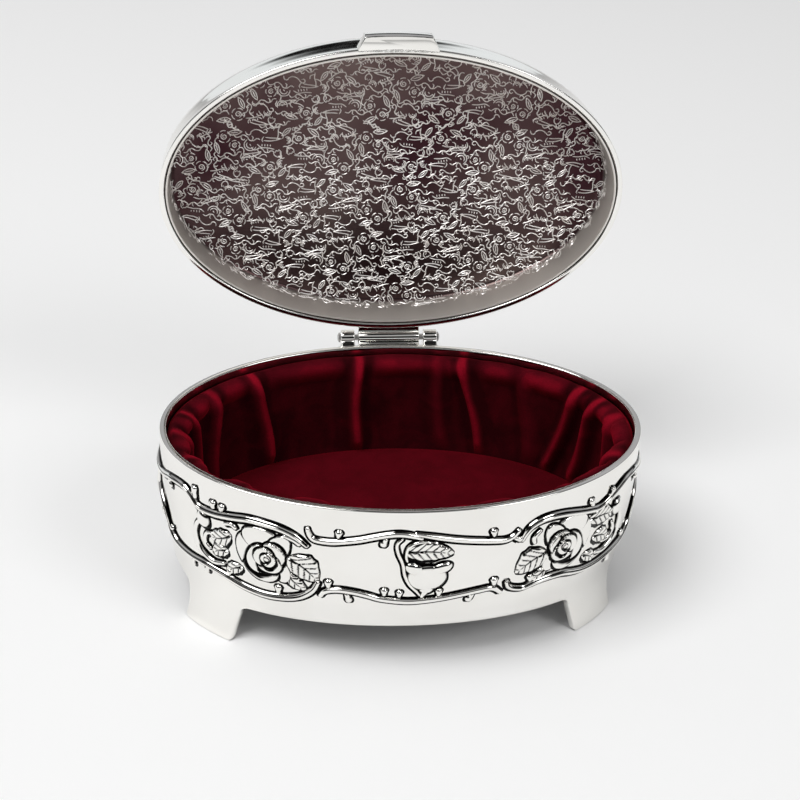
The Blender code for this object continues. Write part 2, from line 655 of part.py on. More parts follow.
def make_pin(parts, metal, centre):
    """The hinge pin, a turned wire with a small riveted head at each end."""
    half = LID_KNUCKLE_LENGTH / 2 + KNUCKLE_GAP + BODY_KNUCKLE_LENGTH + PIN_CLEARANCE
    tip = half + PIN_HEAD_LENGTH
    upper = [(0.0, tip), (PIN_HEAD_RADIUS / 2, tip), (PIN_HEAD_RADIUS, half + PIN_HEAD_LENGTH / 2)]
    upper += [(PIN_HEAD_RADIUS, half), (PIN_RADIUS, half)]
    lower = [(radius, -height) for radius, height in reversed(upper)]
    mesh = bpy.data.meshes.new("hinge_pin")
    shape = bmesh.new()
    verts = [shape.verts.new((radius, 0.0, height)) for radius, height in upper + lower]
    for here, there in zip(verts, verts[1:]):
        shape.edges.new((here, there))
    shape.to_mesh(mesh)
    shape.free()
    pin = place(mesh, parts, centre, metal, location=(0.0, HINGE_Y, HINGE_Z))
    pin.rotation_euler = (0.0, math.pi / 2, 0.0)
    screw = pin.modifiers.new("Turn", "SCREW")
    screw.steps = ROUND_STEPS
    screw.render_steps = ROUND_STEPS
    screw.use_merge_vertices = True
    screw.merge_threshold = 0.00001
    return pin


def fold_depth(angle, height):
    """How far the gathers push the velvet in at an angle round the oval and a height."""
    rise = (height - LINING_FOOT) / (LINING_TOP - LINING_FOOT)
    depth = 0.0
    for place_deg, lean_deg, width_deg, share in FOLD_SHARES:
        centre = place_deg + lean_deg * (rise - 0.5)
        away = (math.degrees(angle) - centre + 180.0) % 360.0 - 180.0
        depth = max(depth, share * math.exp(-(away / width_deg) ** 2))
    low_fade = min(1.0, max(0.0, (rise - 0.1) * 4.0))
    return FOLD_DEPTH * depth * low_fade


def strip_heights(top):
    """Ring heights shared by the strips that stand inside the cup's wall."""
    return [LINING_FOOT + (LINING_SHOULDER - LINING_FOOT) * share for share in STRIP_SHARES] + [top]


def velvet_ring(inset, height, fold_share):
    """One ring of the velvet's face, pushed in by the gathers."""
    ring = []
    for step in range(VELVET_SEGMENTS):
        angle = math.tau * step / VELVET_SEGMENTS
        total = inset + fold_share * fold_depth(angle, height)
        x = (HALF_LENGTH - total) * math.cos(angle)
        y = (HALF_WIDTH - total) * math.sin(angle)
        ring.append(Vector((x, y, height)))
    return ring


def lining_inset(layers):
    """Distance in from the cup's face to the far side of some layers, each with its gap."""
    return sum(thickness + FIT_GAP for thickness in layers)


def make_lining_wall(parts, velvet, centre):
    """The gathered velvet wall, rolled over the card and the wadding under the rim."""
    backing = lining_inset((WALL_CARD_THICKNESS, WALL_WADDING_THICKNESS)) + FIT_GAP
    span = LINING_TOP - LINING_FOOT
    rings = []
    for share in (0.0, 0.20, 0.50, 0.76):
        height = LINING_FOOT + span * share
        rings.append(velvet_ring(cup_inset(height) + backing + VELVET_THICKNESS, height, 1.0))
    roll = backing + VELVET_THICKNESS
    for share, bulge, fold_share in ((0.90, 1.0, 0.9), (0.965, 0.7, 0.7), (1.0, -0.6, 0.3)):
        height = LINING_FOOT + span * share
        rings.append(velvet_ring(cup_inset(height) + roll + ROLL_BULGE * bulge, height, fold_share))
    rings.append(velvet_ring(BODY_WALL + FIT_GAP, LINING_TOP - ROLL_HEIGHT / 3, 0.0))
    rings.append(velvet_ring(BODY_WALL + FIT_GAP, LINING_SHOULDER, 0.0))
    for height in reversed(strip_heights(LINING_SHOULDER)):
        rings.append(velvet_ring(cup_inset(height) + backing, height, 0.0))
    wall = place(loft("lining_wall", rings, closed=True), parts, centre, velvet)
    smooth(wall, 60.0)
    return wall


def make_layer(name, parts, material, centre, near, thickness):
    """A thin strip standing inside the cup's wall, from the floor to the velvet's roll."""
    heights = strip_heights(LINING_SHOULDER - FIT_GAP)
    outer = [oval_ring(cup_inset(height) + near, height) for height in heights]
    inner = [oval_ring(cup_inset(height) + near + thickness, height) for height in heights]
    layer = place(loft(name, outer + list(reversed(inner)), closed=True), parts, centre, material)
    smooth(layer)
    return layer


def make_floor_set(parts, card, wadding, velvet, centre):
    """Card and wadding on the cup's floor, covered by velvet that wraps their edge."""
    backing = lining_inset((WALL_CARD_THICKNESS, WALL_WADDING_THICKNESS)) + FIT_GAP
    edge = cup_inset(LINING_FOOT) + backing + VELVET_THICKNESS + FIT_GAP
    core = edge + FLOOR_VELVET_THICKNESS + FIT_GAP
    card_top = FLOOR_CARD_FOOT + FLOOR_CARD_THICKNESS
    wadding_foot = card_top + FIT_GAP
    wadding_top = wadding_foot + FLOOR_WADDING_THICKNESS
    disc = [oval_ring(core, FLOOR_CARD_FOOT), oval_ring(core, card_top)]
    place(loft("floor_card", disc), parts, centre, card)
    disc = [oval_ring(core, wadding_foot), oval_ring(core, wadding_top)]
    place(loft("floor_wadding", disc), parts, centre, wadding)
    under = wadding_top + FIT_GAP
    top = under + FLOOR_VELVET_THICKNESS
    rings = [oval_ring(core, under, shrink=0.5), oval_ring(core - FIT_GAP, under)]
    rings += [oval_ring(core - FIT_GAP, FLOOR_CARD_FOOT), oval_ring(edge, FLOOR_CARD_FOOT)]
    rings += [oval_ring(edge, top - FLOOR_VELVET_THICKNESS / 2), oval_ring(core - FIT_GAP, top)]
    for share in (0.85, 0.55, 0.25):
        rings.append(oval_ring(core, top + FLOOR_CROWN * (1.0 - share * share), shrink=share))
    cover = place(loft("floor_cover", rings), parts, centre, velvet)
    smooth(cover, 50.0)
    return cover


def make_base_felt(parts, felt, centre):
    """The felt glued under the floor, inside the skirt of the casting."""
    inset = cup_inset(FLOOR_UNDERSIDE) + FELT_EDGE_CLEARANCE
    top = FLOOR_UNDERSIDE - FIT_GAP
    rings = [oval_ring(inset, top - FELT_THICKNESS), oval_ring(inset, top)]
    return place(loft("base_felt", rings), parts, centre, felt)


def front_reach(relief):
    """How far forward of the oval's middle the relief reaches."""
    rings = [ring for ring_sets in relief.values() for each in ring_sets for ring in each]
    return max(-point.y for ring in rings for point in ring)


def rear_reach():
    """How far back of the oval's middle the open lid reaches."""
    reach = 0.0
    for inset, height, shrink in lid_outside():
        for side in (-1, 1):
            y = side * (HALF_WIDTH - inset) * shrink - HINGE_Y
            z = height + LID_GAP - HINGE_RISE
            reach = max(reach, HINGE_Y + y * math.cos(OPEN_ANGLE) + z * math.sin(OPEN_ANGLE))
    return reach


def new_empty(name, collection, location, parent=None):
    """A bare frame that carries pieces."""
    made = bpy.data.objects.new(name, None)
    collection.objects.link(made)
    made.location = location
    made.parent = parent
    return made


def build():
    """Make every piece of the box."""
    clear_scene()
    parts = new_collection("trinket_box")
    cutters = new_collection("cutters")
    silver = new_material("silver_plate", (0.80, 0.80, 0.78), 0.08, 1.0)
    steel = new_material("pin_steel", (0.62, 0.62, 0.62), 0.25, 1.0)
    plated_sheet = new_material("embossed_sheet", (0.74, 0.73, 0.71), 0.18, 1.0)
    velvet = new_material("burgundy_velvet", (0.20, 0.004, 0.016), 0.95, 0.0)
    card = new_material("grey_card", (0.35, 0.33, 0.30), 0.90, 0.0)
    wadding = new_material("white_wadding", (0.80, 0.79, 0.76), 1.0, 0.0)
    felt = new_material("base_felt_black", (0.02, 0.02, 0.02), 1.0, 0.0)
    relief = relief_ring_sets()
    centre = new_empty("oval_middle", parts, (0.0, (front_reach(relief) - rear_reach()) / 2, 0.0))
    hinge = new_empty("lid_hinge_axis", parts, (0.0, HINGE_Y, HINGE_Z), centre)
    hinge.rotation_euler = (-OPEN_ANGLE, 0.0, 0.0)
    make_body(parts, cutters, silver, centre, relief)
    make_lid(parts, cutters, silver, hinge)
    make_plate(parts, plated_sheet, hinge)
    make_pin(parts, steel, centre)
    make_layer("wall_card", parts, card, centre, FIT_GAP, WALL_CARD_THICKNESS)
    wadding_near = lining_inset((WALL_CARD_THICKNESS,)) + FIT_GAP
    make_layer("wall_wadding", parts, wadding, centre, wadding_near, WALL_WADDING_THICKNESS)
    make_lining_wall(parts, velvet, centre)
    make_floor_set(parts, card, wadding, velvet, centre)
    make_base_felt(parts, felt, centre)


build()
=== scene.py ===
"""Looks of an oval footed trinket box, open on its hinge.

Two silver-plated castings with a cast relief of roses and stems, a liner sheet
embossed with small scrolls and roses, a steel pin, and a gathered velvet lining.
Shapes are drawn in millimetres about the oval's middle, +Y to the back and +Z up.
The lid's pieces are drawn shut, with height 0 on their edge, and then opened.
Places on the wall are an arc length from the front's middle, to the right, and a height.
"""
import json
import math
import random

import bmesh
import bpy
from mathutils import Matrix, Vector


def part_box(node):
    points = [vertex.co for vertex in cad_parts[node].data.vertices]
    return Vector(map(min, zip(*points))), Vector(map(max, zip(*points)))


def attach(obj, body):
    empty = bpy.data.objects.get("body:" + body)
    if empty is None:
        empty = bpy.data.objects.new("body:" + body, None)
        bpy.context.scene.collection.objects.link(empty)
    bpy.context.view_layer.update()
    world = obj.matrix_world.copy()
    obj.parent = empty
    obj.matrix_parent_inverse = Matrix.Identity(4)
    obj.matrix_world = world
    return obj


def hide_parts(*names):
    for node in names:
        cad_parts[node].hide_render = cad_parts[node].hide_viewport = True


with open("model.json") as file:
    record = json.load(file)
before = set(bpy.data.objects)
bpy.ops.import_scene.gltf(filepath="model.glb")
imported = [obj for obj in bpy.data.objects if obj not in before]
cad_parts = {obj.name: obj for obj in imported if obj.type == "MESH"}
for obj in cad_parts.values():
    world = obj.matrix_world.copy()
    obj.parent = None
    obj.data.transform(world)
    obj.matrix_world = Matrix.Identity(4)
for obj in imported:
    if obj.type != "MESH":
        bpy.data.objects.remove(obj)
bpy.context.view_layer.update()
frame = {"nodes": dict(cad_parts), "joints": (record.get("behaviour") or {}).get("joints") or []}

MM = 0.001

# The castings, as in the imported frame
HALF_LENGTH = 60.0
HALF_WIDTH = 38.5
RIM_HEIGHT = 47.5
BODY_WALL = 1.6
RIM_ROUND = 0.35
COVE_INSET = 2.4
WALL_SHARES = (
    (0.00, 1.00), (0.00, 0.93), (0.00, 0.80), (0.03, 0.68), (0.12, 0.57), (0.30, 0.46),
    (0.58, 0.37), (0.86, 0.29), (1.00, 0.22), (0.94, 0.15), (0.66, 0.07), (0.22, 0.00),
)
FLOOR_UNDERSIDE = 13.8
FLOOR_TOP = 15.4
FLOOR_FILLET = 1.2
SKIRT_TOP = 19.0
EDGE_HEIGHT = 12.0
EDGE_FALL = 1.3
EDGE_ROUND = 0.25
ARCH_CORNER = 2.5
FOOT_CORNER = 0.9
FRONT_ARCH = (43.5, 41.0)
SIDE_ARCH = (15.0, 13.5)

LID_WALL = 1.4
LID_HEIGHT = 19.5
LID_SHOULDER_INSET = 8.0
LID_GAP = 0.3
LID_ROUND = 0.3
LID_SHARES = (
    (0.00, 0.00), (0.02, 0.10), (0.03, 0.30), (0.05, 0.57), (0.16, 0.68), (0.40, 0.765),
    (0.70, 0.81), (1.00, 0.84),
)
TAB_REACH = 3.1
TAB_THICKNESS = 4.0
TAB_ROOT_HALF = 10.5
TAB_TIP_HALF = 8.5
TAB_BEVEL = 0.25

PLATE_MOUTH = 1.7
PLATE_THICKNESS = 0.5
PLATE_DEPTH = 11.4
PLATE_LEAN = 0.4
PLATE_CORNER = 1.4
PLATE_RECESS = 0.3
PLATE_EDGE_RISE = 0.08

KNUCKLE_RADIUS = 2.1
KNUCKLE_SPAN = (9.25, 12.95)
KNUCKLE_DROP = 6.8
KNUCKLE_BEVEL = 0.3
LID_KNUCKLE_RADIUS = 1.8
LID_KNUCKLE_HALF = 8.15
LEAF_BED = 1.0
LEAF_BEVEL = 0.15
HEEL_DROP = 3.6
HEEL_BEVEL = 0.2
STOP_GAP = 0.3

# The lining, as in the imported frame
FIT_GAP = 0.3
CARD_THICKNESS = 0.5
WADDING_THICKNESS = 1.0
VELVET_THICKNESS = 1.0
LINING_TOP = 46.1
LINING_FOOT = 16.6
LINING_SHOULDER = 43.1
FLOOR_COVER_UNDER = 17.7
FLOOR_COVER_TOP = 18.5

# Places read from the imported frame, in millimetres
JOINT = frame["joints"][0]
HINGE = Vector(JOINT["pos_m"]) / MM
OPEN_ANGLE = math.radians(JOINT["range_deg"][1])
FELT_LOW, FELT_HIGH = (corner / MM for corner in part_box("base_felt"))
MIDDLE_Y = (FELT_LOW.y + FELT_HIGH.y) / 2
HINGE_Y = HINGE.y - MIDDLE_Y
HINGE_Z = HINGE.z

BODY_PLACE = Matrix.Translation((0.0, MIDDLE_Y, 0.0))
LID_PLACE = (Matrix.Translation(HINGE) @ Matrix.Rotation(-OPEN_ANGLE, 4, "X")
             @ Matrix.Translation((0.0, -HINGE_Y, RIM_HEIGHT + LID_GAP - HINGE_Z)))


def curve_at(points, where):
    """The first value of a smooth curve through points ordered downwards by their second value."""
    if where >= points[0][1]:
        return points[0][0]
    if where <= points[-1][1]:
        return points[-1][0]
    for here in range(len(points) - 1):
        (value, top), (value_below, foot) = points[here], points[here + 1]
        if where >= foot:
            before = points[max(here - 1, 0)]
            after = points[min(here + 2, len(points) - 1)]
            span = foot - top
            slope = (value_below - before[0]) / (foot - before[1]) if here else 0.0
            slope_below = (after[0] - value) / (after[1] - top)
            share = (where - top) / span
            square, cube = share * share, share * share * share
            return ((2 * cube - 3 * square + 1) * value + (cube - 2 * square + share) * span * slope
                    + (3 * square - 2 * cube) * value_below + (cube - square) * span * slope_below)
    return points[-1][0]


WALL_POINTS = [(inset * COVE_INSET, height * RIM_HEIGHT) for inset, height in WALL_SHARES]


def wall_inset(height):
    """How far the body's outer face lies inside the rim's oval at a height."""
    return curve_at(WALL_POINTS, height)


def oval_point(inset, turn, height):
    """A point on the oval drawn in by an inset."""
    return Vector(((HALF_LENGTH - inset) * math.cos(turn), (HALF_WIDTH - inset) * math.sin(turn), height))


def arc_table(steps=1440):
    """Arc lengths round the rim's oval, from the front's middle to the right."""
    lengths = [0.0]
    last = oval_point(0.0, -math.pi / 2, 0.0)
    for step in range(1, steps + 1):
        point = oval_point(0.0, -math.pi / 2 + math.tau * step / steps, 0.0)
        lengths.append(lengths[-1] + (point - last).length)
        last = point
    return lengths


ARC_LENGTHS = arc_table()
ROUND = ARC_LENGTHS[-1]


def turn_at(arc):
    """The oval's turn at an arc length from the front's middle."""
    arc = arc % ROUND
    low, high = 0, len(ARC_LENGTHS) - 1
    while high - low > 1:
        middle = (low + high) // 2
        if ARC_LENGTHS[middle] <= arc:
            low = middle
        else:
            high = middle
    share = (arc - ARC_LENGTHS[low]) / (ARC_LENGTHS[high] - ARC_LENGTHS[low])
    return -math.pi / 2 + math.tau * (low + share) / (len(ARC_LENGTHS) - 1)


def on_wall(arc, height, out=0.0):
    """A place on the body's wall, moved out along the wall's own normal."""
    turn = turn_at(arc)
    inset = wall_inset(height)
    slope = wall_inset(height + 0.1) - wall_inset(height - 0.1)
    normal = Vector((math.cos(turn) / (HALF_LENGTH - inset), math.sin(turn) / (HALF_WIDTH - inset), 0.0))
    normal.normalize()
    normal.z = slope / 0.2
    return oval_point(inset, turn, height) + normal.normalized() * out


def spun(rings, columns, place, closed=False, marks=None):
    """A straight line spun into a tube, with its points then put in their places and marked."""
    shape = bmesh.new()
    line = [shape.verts.new((1.0, 0.0, ring)) for ring in range(rings)]
    edges = [shape.edges.new(pair) for pair in zip(line, line[1:])]
    if closed:
        edges.append(shape.edges.new((line[-1], line[0])))
    bmesh.ops.spin(shape, geom=line + edges, cent=(0, 0, 0), axis=(0, 0, 1),
                   steps=columns, angle=math.tau, use_merge=True)
    layers = {name: shape.verts.layers.float.new(name) for name in marks or {}}
    for vert in shape.verts:
        ring = round(vert.co.z)
        column = round(math.atan2(vert.co.y, vert.co.x) / math.tau * columns) % columns
        vert.co = place(ring, column)
        for name, layer in layers.items():
            vert[layer] = marks[name](ring, column)
    if not closed:
        bmesh.ops.holes_fill(shape, edges=[edge for edge in shape.edges if edge.is_boundary])
    return shape


def spun_section(section, columns, closed=False, marks=None):
    """A section carried round the oval: inset, height, and how much of its size each ring keeps."""
    def place(ring, column):
        inset, height, shrink = section[ring]
        point = oval_point(inset, math.tau * column / columns, height)
        return Vector((point.x * shrink, point.y * shrink, height))
    return spun(len(section), columns, place, closed, marks)


def quarter(steps, first=0, back=False):
    """Points round a quarter of a corner: how far each lies from the corner's two sides, in radii."""
    shares = [step / steps for step in range(first, steps + 1)]
    angles = [math.pi / 2 * (1 - share if back else share) for share in shares]
    return [(1 - math.cos(angle), 1 - math.sin(angle)) for angle in angles]


def prism(outline, start, end, bevel=0.0):
    """A flat outline pushed from one shift of it to another, with its edges eased."""
    shape = bmesh.new()
    corners = [shape.verts.new(point + start) for point in outline]
    face = bmesh.ops.contextual_create(shape, geom=corners)["faces"][0]
    pushed = bmesh.ops.extrude_face_region(shape, geom=[face])
    moved = [item for item in pushed["geom"] if isinstance(item, bmesh.types.BMVert)]
    bmesh.ops.translate(shape, verts=moved, vec=end - start)
    bmesh.ops.recalc_face_normals(shape, faces=shape.faces)
    if bevel:
        sharp = [edge for edge in shape.edges if edge.calc_face_angle(0.0) > math.radians(35)]
        bmesh.ops.bevel(shape, geom=sharp, offset=bevel, segments=3, profile=0.5,
                        affect="EDGES", clamp_overlap=True, material=-1)
    return shape


def bar(radius, half, centre, sides=48, bevel=0.2):
    """A round bar along X with eased ends."""
    shape = bmesh.new()
    turned = Matrix.Translation(centre) @ Matrix.Rotation(math.pi / 2, 4, "Y")
    bmesh.ops.create_cone(shape, cap_ends=True, segments=sides, radius1=radius, radius2=radius,
                          depth=2 * half, matrix=turned)
    rims = [edge for edge in shape.edges if edge.calc_face_angle(0.0) > math.radians(60)]
    bmesh.ops.bevel(shape, geom=rims, offset=bevel, segments=3, profile=0.5, affect="EDGES",
                    clamp_overlap=True, material=-1)
    return shape


def joined(*shapes):
    """Several shapes in one."""
    whole = bmesh.new()
    for shape in shapes:
        mesh = bpy.data.meshes.new("joined")
        shape.to_mesh(mesh)
        shape.free()
        whole.from_mesh(mesh)
        bpy.data.meshes.remove(mesh)
    return whole


def piece(name, shape, material, body, sharp_deg=40.0, replaced=()):
    """A finished piece: the shape put in place in metres, smoothed, and riding on its body."""
    bmesh.ops.transform(shape, matrix=LID_PLACE if body == "lid" else BODY_PLACE, verts=shape.verts)
    bmesh.ops.scale(shape, vec=(MM, MM, MM), verts=shape.verts)
    bmesh.ops.recalc_face_normals(shape, faces=shape.faces)
    mesh = bpy.data.meshes.new(name)
    shape.to_mesh(mesh)
    shape.free()
    mesh.materials.append(material)
    mesh.shade_smooth()
    mesh.set_sharp_from_angle(angle=math.radians(sharp_deg))
    made = bpy.data.objects.new(name, mesh)
    bpy.context.scene.collection.objects.link(made)
    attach(made, body)
    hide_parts(*replaced)
    return made


def linear(hex_code):
    """An sRGB hex colour as the linear colour that a shader takes."""
    values = []
    for start in (1, 3, 5):
        value = int(hex_code[start:start + 2], 16) / 255
        values.append(value / 12.92 if value <= 0.04045 else ((value + 0.055) / 1.055) ** 2.4)
    return (*values, 1.0)


def fill_inputs(node, fill):
    """A node's inputs filled with values, or linked to other nodes' outputs."""
    for name, value in fill.items():
        if isinstance(value, bpy.types.NodeSocket):
            node.id_data.links.new(value, node.inputs[name])
        else:
            node.inputs[name].default_value = value


def add_node(tree, kind, fill=None, **settings):
    """A node with its settings and its inputs."""
    node = tree.nodes.new(kind)
    for name, value in settings.items():
        setattr(node, name, value)
    fill_inputs(node, fill or {})
    return node


def new_material(name):
    """A material's tree and its Principled shader."""
    material = bpy.data.materials.new(name)
    material.use_nodes = True
    return material, material.node_tree, material.node_tree.nodes["Principled BSDF"]


def fill_ramp(node, stops):
    """Stops of a colour ramp as places and hex colours."""
    ramp = node.color_ramp
    while len(ramp.elements) < len(stops):
        ramp.elements.new(0.5)
    for element, (place, hex_code) in zip(ramp.elements, stops):
        element.position = place
        element.color = linear(hex_code)


def per_metre(spacing_mm):
    """The scale at which a texture's cells are that many millimetres apart."""
    return 1.0 / (spacing_mm * MM)


# How far the painted shade in a crease reaches, in mm, and the plate's lowest roughness
CREASE_SHADE_REACH = 0.7
SILVER_ROUGHNESS = 0.045


def silver_plate():
    """Bright silver plate on polished zinc: mirror gloss, a faint buffing ripple, and painted black shade in
    creases and round the relief.
    """
    material, tree, shader = new_material("silver_plate")
    place = add_node(tree, "ShaderNodeTexCoord").outputs["Object"]
    cloud = add_node(tree, "ShaderNodeTexNoise", {"Vector": place, "Scale": per_metre(14), "Detail": 2.0})
    tone = add_node(tree, "ShaderNodeMix", {0: cloud.outputs["Fac"], 6: linear("#f9f8f5"),
                                            7: linear("#efede8")}, data_type="RGBA")
    # Painted shade: the colour is darkened towards #171413 where the AO node finds creases.
    corner = add_node(tree, "ShaderNodeAmbientOcclusion", {"Distance": CREASE_SHADE_REACH * MM}, samples=8)
    depth = add_node(tree, "ShaderNodeValToRGB", {"Fac": corner.outputs["AO"]})
    fill_ramp(depth, ((0.30, "#171413"), (0.72, "#ffffff")))
    shaded = add_node(tree, "ShaderNodeMix", {0: 1.0, 6: tone.outputs[2], 7: depth.outputs["Color"]},
                      data_type="RGBA", blend_type="MULTIPLY")
    # Painted shade and dark reflection: the relief's layer of painted shade blends the colour to near black
    # at the forms' feet, edges and creases.
    shade_layer = add_node(tree, "ShaderNodeAttribute", attribute_name="painted_shade")
    shade_amount = add_node(tree, "ShaderNodeMapRange", {"Value": shade_layer.outputs["Fac"], "From Min": 0.15,
                                                 "From Max": 0.75})
    colour = add_node(tree, "ShaderNodeMix", {0: shade_amount.outputs["Result"], 6: shaded.outputs[2],
                                              7: linear("#060505")}, data_type="RGBA")
    smear = add_node(tree, "ShaderNodeTexNoise", {"Vector": place, "Scale": per_metre(5), "Detail": 3.0})
    rough = add_node(tree, "ShaderNodeMapRange", {"Value": smear.outputs["Fac"], "From Min": 0.35,
                                                  "From Max": 0.75, "To Min": SILVER_ROUGHNESS,
                                                  "To Max": SILVER_ROUGHNESS + 0.05})
    ripple = add_node(tree, "ShaderNodeTexNoise", {"Vector": place, "Scale": per_metre(3.5), "Detail": 1.0})
    bump = add_node(tree, "ShaderNodeBump", {"Height": ripple.outputs["Fac"], "Strength": 0.25,
                                             "Distance": 0.012 * MM})
    fill_inputs(shader, {"Base Color": colour.outputs[2], "Roughness": rough.outputs["Result"],
                         "Normal": bump.outputs["Normal"], "Metallic": 1.0})
    return material


def embossed_ground():
    """The liner's plated sheet: finely matted by the embossing roll, its ground painted dark maroon-brown as
    a painted reflection of the velvet, its wall plain.
    """
    material, tree, shader = new_material("embossed_ground")
    place = add_node(tree, "ShaderNodeTexCoord").outputs["Object"]
    cloud = add_node(tree, "ShaderNodeTexNoise", {"Vector": place, "Scale": per_metre(38), "Detail": 2.0})
    # Painted reflection: the ground's dark maroon-brown stands in for the red velvet seen in the plated
    # sheet.
    painted_reflection = add_node(tree, "ShaderNodeValToRGB", {"Fac": cloud.outputs["Fac"]})
    fill_ramp(painted_reflection, ((0.34, "#3a2328"), (0.70, "#6c5c59")))
    grain = add_node(tree, "ShaderNodeTexNoise", {"Vector": place, "Scale": per_metre(0.35), "Detail": 2.0})
    matt = add_node(tree, "ShaderNodeMapRange", {"Value": grain.outputs["Fac"], "To Min": 0.22,
                                                 "To Max": 0.42})
    bump = add_node(tree, "ShaderNodeBump", {"Height": grain.outputs["Fac"], "Strength": 0.35,
                                             "Distance": 0.04 * MM})
    rolled = add_node(tree, "ShaderNodeAttribute", attribute_name="plain")
    tone = add_node(tree, "ShaderNodeMix", {0: rolled.outputs["Fac"], 6: painted_reflection.outputs["Color"],
                                            7: linear("#f0ece6")}, data_type="RGBA")
    rough = add_node(tree, "ShaderNodeMix", {0: rolled.outputs["Fac"], 2: matt.outputs["Result"], 3: 0.55})
    fill_inputs(shader, {"Base Color": tone.outputs[2], "Roughness": rough.outputs[0],
                         "Normal": bump.outputs["Normal"], "Metallic": 1.0})
    return material


def embossed_line():
    """The raised lines of the liner sheet: worn bright by the roll."""
    material, tree, shader = new_material("embossed_line")
    place = add_node(tree, "ShaderNodeTexCoord").outputs["Object"]
    wear = add_node(tree, "ShaderNodeTexNoise", {"Vector": place, "Scale": per_metre(6), "Detail": 3.0})
    tone = add_node(tree, "ShaderNodeValToRGB", {"Fac": wear.outputs["Fac"]})
    fill_ramp(tone, ((0.30, "#e6e0dc"), (0.62, "#fbf8f5")))
    rough = add_node(tree, "ShaderNodeMapRange", {"Value": wear.outputs["Fac"], "To Min": 0.30,
                                                  "To Max": 0.42})
    fill_inputs(shader, {"Base Color": tone.outputs["Color"], "Roughness": rough.outputs["Result"],
                         "Metallic": 0.60})
    return material


def drawn_steel():
    """Drawn steel wire: grey, with fine lines along its length."""
    material, tree, shader = new_material("drawn_steel")
    place = add_node(tree, "ShaderNodeTexCoord").outputs["Object"]
    along = add_node(tree, "ShaderNodeMapping", {"Vector": place, "Scale": (0.05, 1.0, 1.0)})
    lines = add_node(tree, "ShaderNodeTexNoise", {"Vector": along.outputs["Vector"],
                                                  "Scale": per_metre(0.12)})
    tone = add_node(tree, "ShaderNodeValToRGB", {"Fac": lines.outputs["Fac"]})
    fill_ramp(tone, ((0.35, "#9c9a98"), (0.65, "#c8c6c4")))
    bump = add_node(tree, "ShaderNodeBump", {"Height": lines.outputs["Fac"], "Strength": 0.3,
                                             "Distance": 0.01 * MM})
    fill_inputs(shader, {"Base Color": tone.outputs["Color"], "Normal": bump.outputs["Normal"],
                         "Metallic": 1.0, "Roughness": 0.28})
    return material


def burgundy_velvet(name="burgundy_velvet", hollow="#2c0207", low="#520512", high="#860a1e"):
    """Short-pile rayon velvet: deep red, with painted shade in its hollows and painted light where it stands
    out, and random patches of brushed pile.
    """
    material, tree, shader = new_material(name)
    place = add_node(tree, "ShaderNodeTexCoord").outputs["Object"]
    brushed = add_node(tree, "ShaderNodeTexNoise", {"Vector": place, "Scale": per_metre(7), "Detail": 4.0,
                                                    "Distortion": 0.6})
    patch = add_node(tree, "ShaderNodeMapRange", {"Value": brushed.outputs["Fac"], "From Min": 0.3,
                                                  "From Max": 0.7, "To Min": -0.14, "To Max": 0.14})
    # Painted light and shade: a value per point, high on crests and the roll under the rim, low in hollows,
    # picks the colour from the ramp below.
    painted_light_and_shade = add_node(tree, "ShaderNodeAttribute", attribute_name="painted_light_and_shade")
    light_shade_and_patches = add_node(tree, "ShaderNodeMath", {0: painted_light_and_shade.outputs["Fac"], 1: patch.outputs["Result"]},
                      operation="ADD", use_clamp=True)
    tone = add_node(tree, "ShaderNodeValToRGB", {"Fac": light_shade_and_patches.outputs["Value"]})
    fill_ramp(tone, ((0.0, hollow), (0.45, low), (1.0, high)))
    pile = add_node(tree, "ShaderNodeTexNoise", {"Vector": place, "Scale": per_metre(0.30), "Detail": 3.0})
    tuft = add_node(tree, "ShaderNodeMapRange", {"Value": pile.outputs["Fac"], "From Min": 0.3,
                                                 "From Max": 0.7, "To Min": 0.82, "To Max": 1.12})
    colour = add_node(tree, "ShaderNodeMix", {0: 1.0, 6: tone.outputs["Color"], 7: tuft.outputs["Result"]},
                      data_type="RGBA", blend_type="MULTIPLY")
    bump = add_node(tree, "ShaderNodeBump", {"Height": pile.outputs["Fac"], "Strength": 0.55,
                                             "Distance": 0.12 * MM})
    fill_inputs(shader, {"Base Color": colour.outputs[2], "Normal": bump.outputs["Normal"],
                         "Roughness": 0.95, "Specular IOR Level": 0.05, "Sheen Weight": 0.45,
                         "Sheen Roughness": 0.40, "Sheen Tint": linear("#d0102c")})
    return material


def fibre_material(name, low, high, spacing_mm, bump_mm):
    """A dry fibrous sheet such as card, wadding or felt: fine mottled fibres with no gloss."""
    material, tree, shader = new_material(name)
    place = add_node(tree, "ShaderNodeTexCoord").outputs["Object"]
    fibres = add_node(tree, "ShaderNodeTexNoise", {"Vector": place, "Scale": per_metre(spacing_mm),
                                                   "Detail": 4.0, "Distortion": 1.2})
    tone = add_node(tree, "ShaderNodeValToRGB", {"Fac": fibres.outputs["Fac"]})
    fill_ramp(tone, ((0.30, low), (0.70, high)))
    bump = add_node(tree, "ShaderNodeBump", {"Height": fibres.outputs["Fac"], "Strength": 0.6,
                                             "Distance": bump_mm * MM})
    fill_inputs(shader, {"Base Color": tone.outputs["Color"], "Normal": bump.outputs["Normal"],
                         "Roughness": 0.95, "Specular IOR Level": 0.2})
    return material


